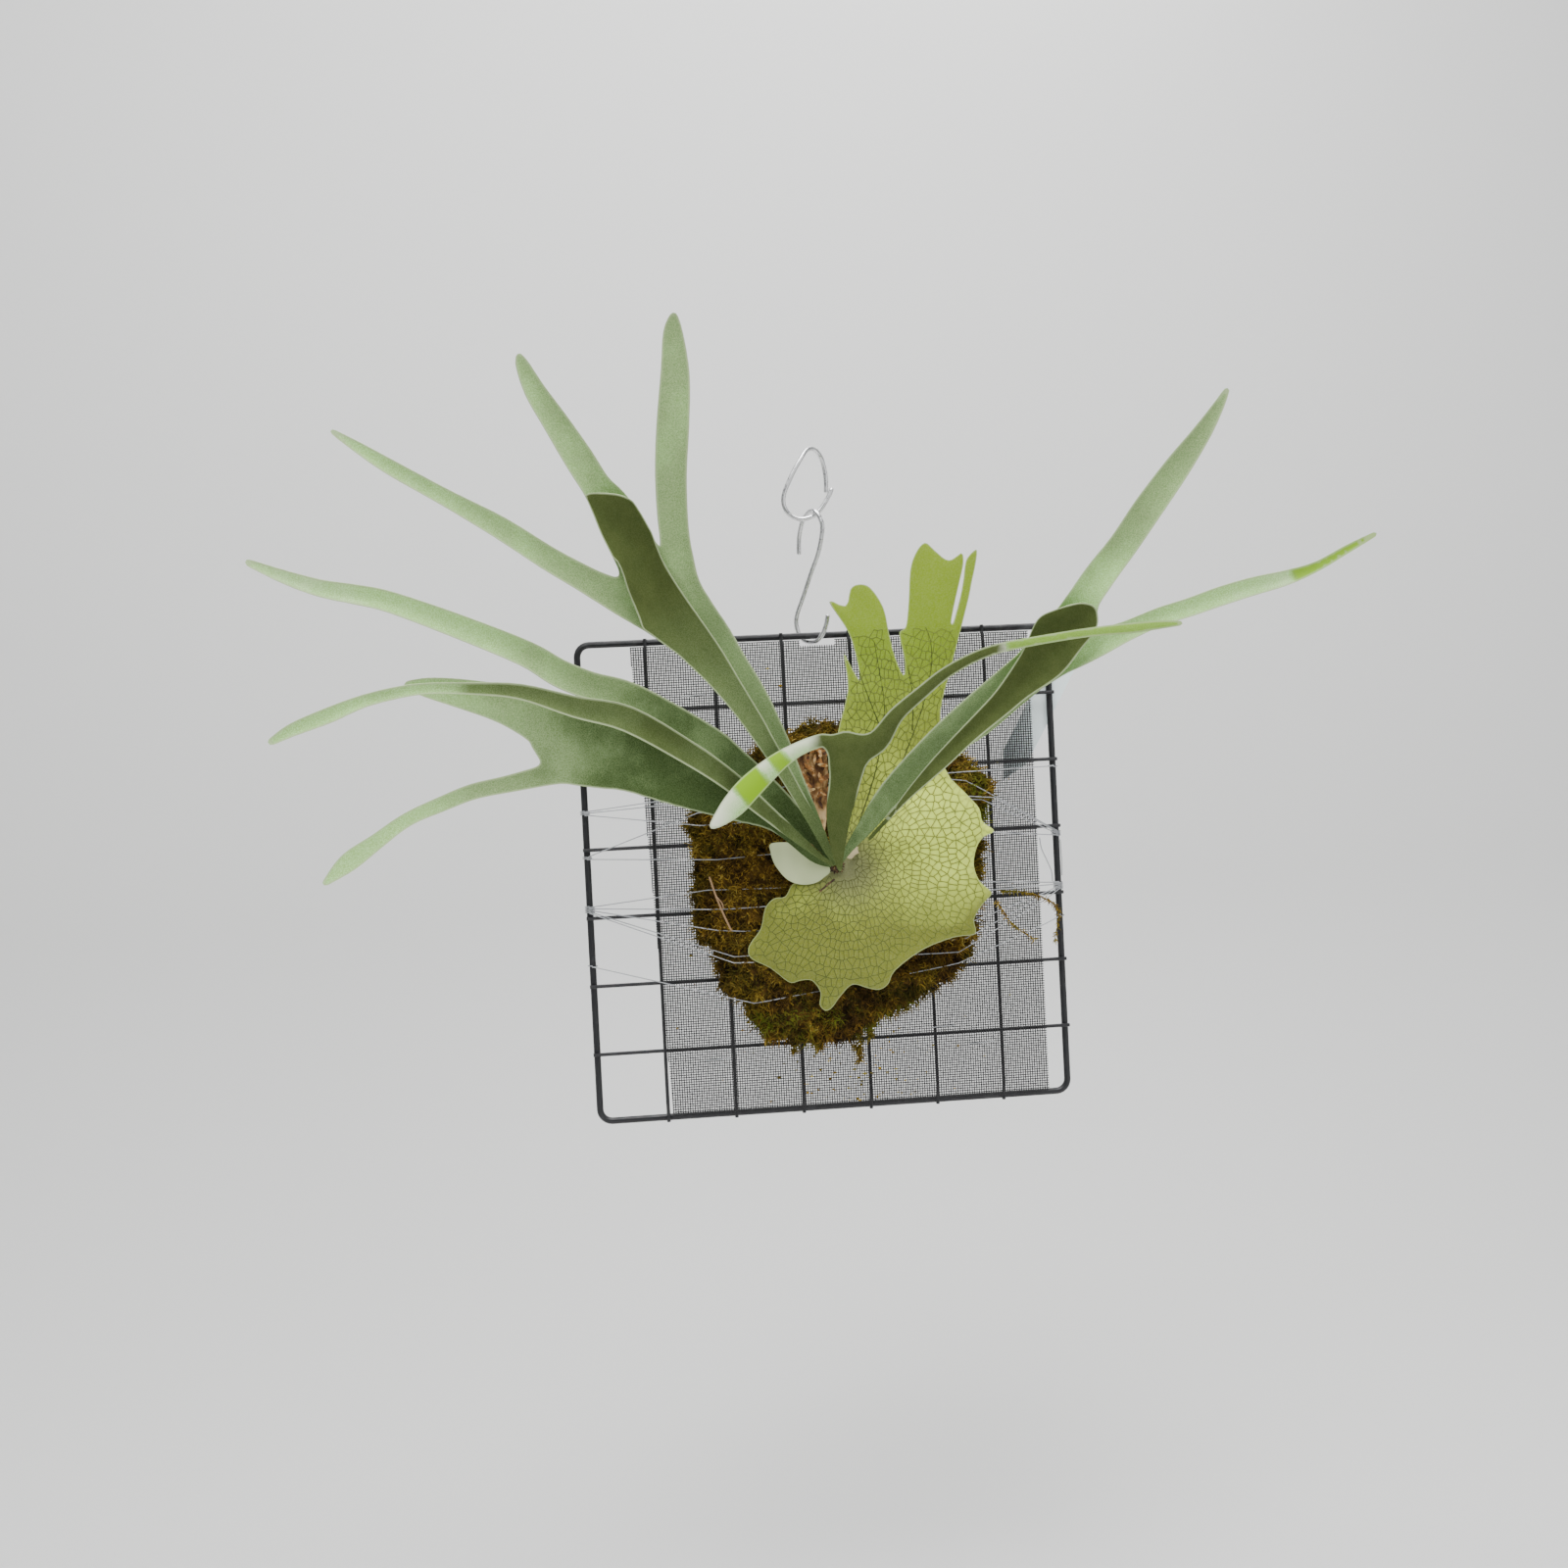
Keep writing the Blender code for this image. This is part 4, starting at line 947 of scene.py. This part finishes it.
def moss_depth(points, loop):
    share = clamp(loop_distance(points, loop) / MOSS_SHOULDER)
    depth = MOSS_BACK - MOSS_RIM - (MOSS_H - MOSS_RIM) * np.sqrt(1 - (1 - share) ** 2)
    return np.where(inside_loop(points, loop), depth, MOSS_BACK - MOSS_RIM)


def clumps(points):
    """How far the moss bulges or dips at each place."""
    return np.array([
        noise.noise(Vector((x * 0.08, 0, z * 0.08))) * 3.4
        + noise.noise(Vector((x * 0.22, 5, z * 0.22))) * 3.0
        for x, z in points])


def moss(finish):
    rng = random.Random(11)
    plan = smooth_path(MOSS_OUTLINE, 2, closed=True)
    loop = resample(smooth_path(MOSS_OUTLINE, 4, closed=True), 3.0)
    ragged = np.array([noise.noise(Vector((x * 0.12, 9, z * 0.12))) for x, z in loop])
    centre = loop.mean(axis=0)
    loop = loop + (loop - centre) / np.hypot(*(loop - centre).T)[:, None] * (ragged[:, None] * 4 - 1.5)
    flat, triangles, rim = fill(loop, MOSS_CELL)
    lumps = clumps(flat)
    depth = np.minimum(moss_depth(flat, plan) + MOSS_SINK + lumps, MOSS_BACK - 1.5)
    shield = smooth_path(SHIELD_OUTLINE, 1, closed=True)
    depth = np.where(inside_loop(flat, shield), np.maximum(depth, UNDER_SHIELD), depth)
    points, faces = two_sheets(flat, depth, triangles, rim)
    # Darker where the moss dips back: painted shade in its hollows
    tone = np.clip(0.22 - 0.07 * lumps, 0, 0.6)
    mesh_piece("moss_body", points, faces, finish, replaces=["moss_pad"],
               values={"tone": np.tile(tone, 2), "green": np.zeros(len(points))})
    fibres(rng, loop, plan, shield, centre, finish)


def fibre_tubes(paths, radii, sides=3):
    """Points and faces of many thin tubes whose paths all have the same number of points."""
    tangent = np.gradient(paths, axis=1)
    tangent /= np.linalg.norm(tangent, axis=2, keepdims=True)
    side = np.cross(tangent, (0.31, 0.89, 0.33))
    side /= np.maximum(np.linalg.norm(side, axis=2, keepdims=True), 1e-6)
    other = np.cross(tangent, side)
    angles = np.arange(sides) * math.tau / sides
    spread = np.cos(angles)[:, None] * side[:, :, None] + np.sin(angles)[:, None] * other[:, :, None]
    points = paths[:, :, None] + spread * radii[:, :, None, None]
    index = np.arange(points[..., 0].size).reshape(points.shape[:3])
    turned = np.roll(index, -1, axis=2)
    walls = np.stack([index[:, :-1], turned[:, :-1], turned[:, 1:], index[:, 1:]], axis=-1).reshape(-1, 4)
    return points.reshape(-1, 3), walls.tolist() + index[:, 0, ::-1].tolist() + index[:, -1].tolist()


def fibres(rng, loop, plan, shield, centre, finish):
    """The moss's own short leaves, on two pieces: dense on the lumps, longer and drooping at the rim."""
    (left, low), (right, high) = loop.min(axis=0) - 3, loop.max(axis=0) + 3
    for part in (1, 2):
        tries = np.array([(rng.uniform(left, right), rng.uniform(low, high)) for _ in range(FIBRE_TRIES)])
        distance = -signed_distance(tries, loop)
        keep = (distance > -0.5) & (signed_distance(tries, shield) >= -9)
        tries, distance = tries[keep][:FIBRES], distance[keep][:FIBRES]
        lumps = clumps(tries)
        level = np.minimum(moss_depth(tries, plan) + MOSS_SINK + lumps, MOSS_BACK - 1.5)
        near_shield = signed_distance(tries, shield) < 10
        paths, tones, greens = [], [], []
        for (x, z), inner, y, lump, under in zip(tries, distance, level, lumps, near_shield):
            out = np.array((x, z)) - centre
            out = out / np.hypot(*out)
            rim_share = max(0.0, 1 - inner / 22)
            heading = np.array((rng.gauss(0, 1) + out[0] * 1.2 * rim_share, -rng.uniform(0.1, 1.0),
                                rng.gauss(0, 1) + out[1] * 1.2 * rim_share - 0.3))
            length = rng.uniform(1.8, 5.2) * (1 + 0.9 * rim_share)
            at = np.array((x, y - 0.3, z))
            path = [at]
            for _ in range(3):
                heading = heading / np.linalg.norm(heading)
                at = at + heading * length / 3
                at[1] = min(at[1], MOSS_BACK - 0.4)
                if under:
                    at[1] = max(at[1], FIBRES_UNDER)
                path.append(at)
                heading = heading + (rng.gauss(0, 0.7), rng.gauss(0, 0.5) + 0.15, rng.gauss(0, 0.7) - 0.15)
            paths.append(path)
            patch = noise.noise(Vector((x * 0.05, 1, z * 0.05)))
            # The tone varies at random and is darker where the moss dips back and towards the bottom: painted
            # shade
            low_painted_shade = min(max((-z - 215 + 0.3 * x) / 60, 0), 1)
            tones.append(min(max(rng.gauss(0.50 - 0.08 * lump + 0.25 * patch - 0.20 * low_painted_shade, 0.15), 0), 1))
            greens.append(1.0 if x > 60 and z > -150 or z < -275 and rng.random() < 0.5 else 0.25)
        thick = np.array([rng.uniform(0.20, 0.46) for _ in paths])
        points, faces = fibre_tubes(np.array(paths), thick[:, None] * (1.0, 1.2, 0.9, 0.3))
        along = np.tile(np.repeat(np.linspace(-0.18, 0.1, 4), 3), len(paths))
        mesh_piece(f"moss_fibres_{part}", points, faces, finish,
                   values={"tone": clamp(np.repeat(tones, 12) + along), "green": np.repeat(greens, 12)})


def bark(finish):
    """Chips of bark and dry leaf that show between the fronds above the bud."""
    rng = random.Random(8)
    points, faces, tones = [], [], []
    for _ in range(40):
        x, z = rng.uniform(-21, 1), rng.uniform(-128, -84)
        turn, size = rng.uniform(0, math.pi), rng.uniform(2.0, 4.6)
        base, depth = len(points), -40.6 - rng.uniform(0, 3.0)
        for k in range(6):
            a = turn + k * math.tau / 6
            along, across = math.cos(a - turn) * size, math.sin(a - turn) * size * rng.uniform(0.25, 0.5)
            px = x + along * math.cos(turn) - across * math.sin(turn)
            pz = z + along * math.sin(turn) + across * math.cos(turn)
            tilt = rng.uniform(-0.5, 0.5)
            points += [(px, depth + tilt - 0.5, pz), (px, depth + tilt + 0.5, pz)]
        faces += [tuple(base + 2 * k for k in range(6)), tuple(base + 2 * k + 1 for k in range(6))[::-1]]
        faces += [tuple(base + (2 * k + corner) % 12 for corner in (0, 1, 3, 2)) for k in range(6)]
        tones += [rng.random()] * 12
    mesh_piece("bark_chips", np.array(points), faces, finish, values={"tone": tones})


def bark_chip():
    s = Shader("bark_chip", roughness=0.85)
    grain = s.ramp(s.noise(300.0, 3.0, 0.6), 0.3, 0.7)
    tone = s.math("ADD", s.attribute("tone"), s.ramp(grain, 0.0, 1.0, -0.25, 0.25))
    colour = s.mix(s.ramp(tone, 0.1, 0.6), (0.050, 0.018, 0.005), (0.36, 0.15, 0.035))
    s.colour(s.mix(s.ramp(tone, 0.6, 1.0), colour, (0.62, 0.42, 0.20)))
    s.bump(grain, 0.0006)
    return s.material


def straw(finish):
    """A dead grass stem lying on the moss."""
    line = smooth_path([(-88, -42, -174), (-84, -40.5, -188), (-79, -39.5, -202), (-74, -38, -214)], 6)
    side = smooth_path([(-84, -40.5, -188), (-80, -41.5, -193), (-79, -41.5, -197)], 4)
    points, faces, _ = tube_mesh([line, side], [0.75, 0.45], sides=5)
    mesh_piece("straw", points, faces, finish)


def fuzzy_strand(name, route, finish, replaces, seed, tuft=1.0):
    """A hanging strand of moss: a stem with short side leaves."""
    rng = random.Random(seed)
    stem = smooth_path(route, 8)
    paths = [stem]
    radii = [np.linspace(0.6, 0.3, len(stem))]
    tones = [0.5]
    for k in range(len(stem) * 5):
        at = stem[min(k // 5, len(stem) - 1)] + np.array([rng.gauss(0, 0.4) for _ in range(3)])
        away = np.array([rng.gauss(0, 1), rng.gauss(0, 0.6), rng.gauss(0, 1) - 0.4])
        away /= np.linalg.norm(away)
        size = rng.uniform(1.6, 3.6) * tuft
        bend = at + away * size * 0.5
        tip = at + away * size + np.array((0, 0, -0.5))
        paths.append([at, bend, tip])
        radii.append((0.32, 0.38, 0.12))
        tones.append(min(max(rng.gauss(0.62, 0.2), 0), 1))
    points, faces, owner = tube_mesh(paths, radii, sides=3)
    mesh_piece(name, points, faces, finish, replaces=replaces,
               values={"tone": np.array(tones)[owner], "green": np.full(len(points), 0.5)})


def crumbs(finish):
    """Loose crumbs of moss caught in the mesh sheet."""
    rng = random.Random(23)
    points, faces, tones = [], [], []
    for k in range(170):
        if k < 110:
            x, z = rng.gauss(18, 30), rng.uniform(-350, -296)
        else:
            x, z = rng.uniform(-120, 150), rng.uniform(-345, -20)
        if not -118 < x < 154 or z > -22 and -26 < x < 24:
            continue
        size = rng.uniform(0.35, 1.3)
        base = len(points)
        for dx, dy, dz in ((1, 0, 0), (-1, 0, 0), (0, 0.5, 0), (0, -0.8, 0), (0, 0, 1), (0, 0, -1)):
            points.append([x + dx * size * rng.uniform(0.6, 1.9), MESH_FRONT - 0.5 * size + dy * size * 0.7,
                           z + dz * size * rng.uniform(0.5, 1.1)])
        for i, j, l in ((0, 2, 4), (2, 1, 4), (1, 3, 4), (3, 0, 4), (2, 0, 5), (1, 2, 5), (3, 1, 5),
                       (0, 3, 5)):
            faces.append((base + i, base + j, base + l))
        tones += [rng.uniform(0.35, 0.95)] * 6
    mesh_piece("moss_crumbs", np.array(points), faces, finish,
               values={"tone": tones, "green": np.full(len(points), 0.5)})


# Fishing line

def strand_start(post, place_on_wrap):
    x, z, turns = POSTS[post]
    return (x, -(WRAP_R + LINE_GAP + LINE_R), z + ((turns - 1) / 2 - place_on_wrap) * WRAP_STEP)


def strand_route(strand, plan):
    """A strand's way from rod to rod: straight seen from the front, pulled tight over the moss and mesh."""
    left, left_place, enter, leave, right, right_place, layer = strand
    start, end = strand_start(left, left_place), strand_start(right, right_place)
    corners = [(start[0], start[2]), enter, leave, (end[0], end[2])]
    clear = LINE_R + LINE_GAP + layer * (2 * LINE_R + LINE_GAP)
    samples = [(0.0, start)]
    along = 0.0
    nearby = np.array([(dx, dz) for dx in (-7, 0, 7) for dz in (-5, 0, 5)], float)
    for (ax, az), (bx, bz) in zip(corners, corners[1:]):
        span = math.dist((ax, az), (bx, bz))
        for k in range(1, STRAND_STEPS):
            t = k / STRAND_STEPS
            x, z = ax + t * (bx - ax), az + t * (bz - az)
            highest = -WRAP_R
            if OVER_MESH[0] < x < OVER_MESH[1]:
                highest = MESH_FRONT
            around = moss_depth(nearby + (x, z), plan).min()
            if around < MOSS_BACK - MOSS_RIM:
                highest = around
            samples.append((along + t * span, (x, highest - clear, z)))
        along += span
    samples.append((along, end))
    route = []
    for s, point in samples:
        while len(route) > 1:
            (s0, p0), (s1, p1) = route[-2:]
            if (s1 - s0) * (point[1] - p0[1]) - (p1[1] - p0[1]) * (s - s0) > 0:
                break
            route.pop()
        route.append((s, point))
    return np.array([p for _, p in route])


def line_piece(name, route, finish, replaces):
    """A strand of line along the route, where it starts and how long it is, in metres."""
    curve = bpy.data.curves.new(name, "CURVE")
    curve.dimensions = "3D"
    curve.bevel_depth = LINE_R * MM
    curve.bevel_resolution = 2
    curve.use_fill_caps = True
    spline = curve.splines.new("POLY")
    spline.points.add(len(route) - 1)
    at = world(route)
    for point, place in zip(spline.points, at):
        point.co = (*place, 1.0)
    piece = add_piece(name, curve, finish, "panel", [replaces])
    length = float(np.linalg.norm(np.diff(at, axis=0), axis=1).sum())
    return piece, tuple(at[0]), round(length, 4)


def fishing_line(finish):
    plan = smooth_path(MOSS_OUTLINE, 2, closed=True)
    for number, strand in enumerate(STRANDS, 1):
        route = strand_route(strand, plan)
        piece, start, length = line_piece(f"strand_{number}", route, finish, f"line_strand_{number}")
    tail = smooth_path([(HALF - 4.6, -1.5, -195), (172, -4, -187), (168, -5, -177), (165, -4, -169),
                        (164, -4, -161)], 3)
    piece, start, length = line_piece("strand_tail", tail, finish, "line_tail")
    for name, (x, z, turns) in POSTS.items():
        coil = []
        radius = WRAP_R - LINE_R
        for k in range(turns * WRAP_SIDES + 1):
            a = k * math.tau / WRAP_SIDES - math.pi / 2
            rise = (k / WRAP_SIDES - turns / 2) * WRAP_STEP
            coil.append((x + radius * math.cos(a), radius * math.sin(a), z + rise))
        points, faces, _ = tube_mesh([coil], [LINE_R], sides=6)
        mesh_piece(f"wrap_{name}", points, faces, finish, replaces=[f"line_wrap_{name}"])


# Metal

def mesh_lattice(finish):
    """The mesh sheet's own threads, one way a hair in front of the other."""
    half, thick = THREAD_HALF, THREAD_THICK
    middle = (MESH_FRONT + MESH_BACK) / 2
    high = MESH_TOP - MESH_BOTTOM
    bars = []
    for z in np.arange(MESH_TOP - half, MESH_BOTTOM, -MESH_PITCH):
        left = MESH_LEFT + MESH_LEAN * (MESH_TOP - z) / high
        spans = [(left, NOTCH_LEFT), (NOTCH_RIGHT, MESH_RIGHT)] if z > NOTCH_LOW else [(left, MESH_RIGHT)]
        for a, b in spans:
            bars.append((a, b, z - half, z + half, middle - thick))
    for x in np.arange(MESH_FIRST, MESH_RIGHT, MESH_PITCH):
        top = NOTCH_LOW if NOTCH_LEFT < x < NOTCH_RIGHT else MESH_TOP
        in_lean = x <= MESH_LEFT + MESH_LEAN
        bottom = MESH_TOP - (x - MESH_LEFT) / MESH_LEAN * high if in_lean else MESH_BOTTOM
        if top - bottom > 3:
            bars.append((x - half, x + half, bottom, top, middle + thick))
    points, faces = [], []
    for x0, x1, z0, z1, y in bars:
        k = len(points)
        corners = ((x0, z0), (x1, z0), (x1, z1), (x0, z1))
        points += [(x, y + dy, z) for dy in (-thick, thick) for x, z in corners]
        faces += [(k, k + 1, k + 2, k + 3), (k + 7, k + 6, k + 5, k + 4)]
        faces += [(k + i, k + 4 + i, k + 4 + (i + 1) % 4, k + (i + 1) % 4) for i in range(4)]
    sheet = mesh_piece("mesh_threads", np.array(points), faces, finish, replaces=["mesh_sheet"])


def hooks(finish):
    rail = smooth_path([
        (19, 0, 110), (15, 0, 102.5), (10, 0, 95.2), (4, 0, 90), (-7, 0, 88), (-16, 0, 94), (-18, 0, 105),
        (-11, 0, 121),
        (-3, 1, 134), (2, 5, 141), (8, 12, 143), (14, 19, 138), (17, 22.5, 126), (17, 22.5, 112)], 8)
    s_hook = smooth_path([
        (-7, 16, 64), (-6.5, 14.5, 76), (-4, 9.5, 87), (-0.5, 3.9, 92.3), (2.1, 0, 93.8), (5, -3.9, 92.4),
        (8, -6, 87.5), (9.5, -7, 79), (6, -3, 62), (0, 1, 47), (-6, 4, 31), (-12, 7.5, 15), (-11.5, 7.5, 5),
        (-8, 5.2, -1.8), (-4, 0.4, -5), (1, -5, -5), (5.5, -8.5, 0), (8.5, -10, 7), (10, -10.5, 14)], 8)
    for name, route, node in (("hook_rail", rail, "rail_hook"), ("hook_s", s_hook, "s_hook")):
        radius = np.full(len(route), HOOK_R)
        radius[0] = radius[-1] = HOOK_R * 0.8
        points, faces, _ = tube_mesh([route], [radius], sides=12)
        mesh_piece(name, points, faces, finish, body=node, replaces=[node])


def finish_node(names, material):
    for name in names:
        node = frame["nodes"][name]
        node.data.materials.clear()
        node.data.materials.append(material)


# Stage

def studio():
    z_floor, y_wall, bend, wide = -0.95, 1.1, 0.5, 7.0
    profile = [(-4.0, z_floor)]
    for k in range(13):
        a = math.radians(90 * k / 12)
        profile.append((y_wall - bend + bend * math.sin(a), z_floor + bend - bend * math.cos(a)))
    profile.append((y_wall, 4.5))
    points = [(x, y, z) for x in (-wide, wide) for y, z in profile]
    count = len(profile)
    mesh = bpy.data.meshes.new("backdrop")
    mesh.from_pydata(points, [], [(k, k + 1, count + k + 1, count + k) for k in range(count - 1)])
    mesh.shade_smooth()
    mesh.materials.append(plain("backdrop_paper", (0.80, 0.80, 0.79), 0.9))
    obj = bpy.data.objects.new("backdrop", mesh)
    bpy.context.collection.objects.link(obj)
    for name, at, size, power in (
        ("key_light", (-0.5, -1.3, 2.0), 1.6, 66.0), ("fill_light", (1.7, -1.8, 0.4), 2.0, 14.0),
        ("top_light", (0.3, -0.4, 2.1), 2.0, 62.0), ("back_light", (0.4, 0.95, 1.4), 1.0, 5.0),
    ):
        data = bpy.data.lights.new(name, "AREA")
        data.shape = "DISK"
        data.size = size
        data.energy = power
        light = bpy.data.objects.new(name, data)
        light.location = at
        light.rotation_euler = (Vector((0, 0, -0.25)) - Vector(at)).to_track_quat("-Z", "Y").to_euler()
        bpy.context.collection.objects.link(light)
    sky = bpy.data.worlds.new("soft_sky")
    sky.use_nodes = True
    sky.node_tree.nodes["Background"].inputs["Color"].default_value = (0.95, 0.98, 1.0, 1)
    sky.node_tree.nodes["Background"].inputs["Strength"].default_value = 0.35
    bpy.context.scene.world = sky


def build():
    place_camera()
    line = monofilament()
    fishing_line(line)
    leaf = felt_leaf()
    for name, shape in FRONDS.items():
        frond(name, shape, leaf)
    # The main shield's colours: lit, in painted shade, and its veins
    shield = shield_leaf("shield_leaf", (0.74, 0.90, 0.12), (0.20, 0.225, 0.024), (0.17, 0.205, 0.028))
    main_shield(shield, vein_material())
    # The young shield's colours: lit, in painted shade, and its veins
    pale = shield_leaf("young_leaf", (0.62, 0.70, 0.40), (0.46, 0.54, 0.26), (0.33, 0.41, 0.14))
    small_leaf("leaf_young_shield", YOUNG_SHIELD, 46.6, 2.5, 0.4, pale, ["young_shield_frond"])
    cream = plain("scale_cream", (0.56, 0.47, 0.26), 0.6)
    small_leaf("leaf_bud_scale", BUD_SCALE, 48.0, 1.0, 0.2, cream, [])
    small_leaf("leaf_dry_shield", DRY_SHIELD, 38.6, 0.6, 0.8, dry_leaf(), ["dry_shield_frond"])
    green = moss_green()
    moss(green)
    fuzzy_strand("strand_of_moss_1", [(131, -14, -199), (149, -16, -201), (164, -18, -207), (172, -19, -217),
                                      (168, -18, -238)], green, ["moss_strand_1"], 1)
    fuzzy_strand("strand_of_moss_2", [(124, -25, -205), (133, -27, -221), (150, -26, -235)], green,
                 ["moss_strand_2"], 2)
    fuzzy_strand("strand_of_moss_3", [(14, -13, -308), (18, -14, -313), (16, -14, -320)], green,
                 ["moss_strand_3"], 3, tuft=1.5)
    for number, (x, z, drop) in enumerate(MOSS_TUFTS, 1):
        route = [(x, -15, z), (x + 2, -16, z - drop * 0.5), (x + 1, -14, z - drop)]
        fuzzy_strand(f"moss_tuft_{number}", route, green, [], 30 + number, tuft=1.7)
    crumbs(green)
    bark(bark_chip())
    straw(plain("straw", (0.36, 0.22, 0.11), 0.7))
    mesh_lattice(mesh_thread())
    hooks(zinc_wire())
    coat = black_coat()
    wires = [f"{way}_wire_{k}" for way in ("horizontal", "upright") for k in range(1, 7)]
    finish_node(["perimeter_rod"] + wires, coat)
    scales = bud_scales()
    bud(scales)
    finish_node(["old_frond_stalk", "root_ball"], scales)
    finish_node(["line_run_right"] + [f"mesh_tie_{k}" for k in range(1, 5)], line)
    finish_node(["plant_label"], label_plastic())
    studio()


build()
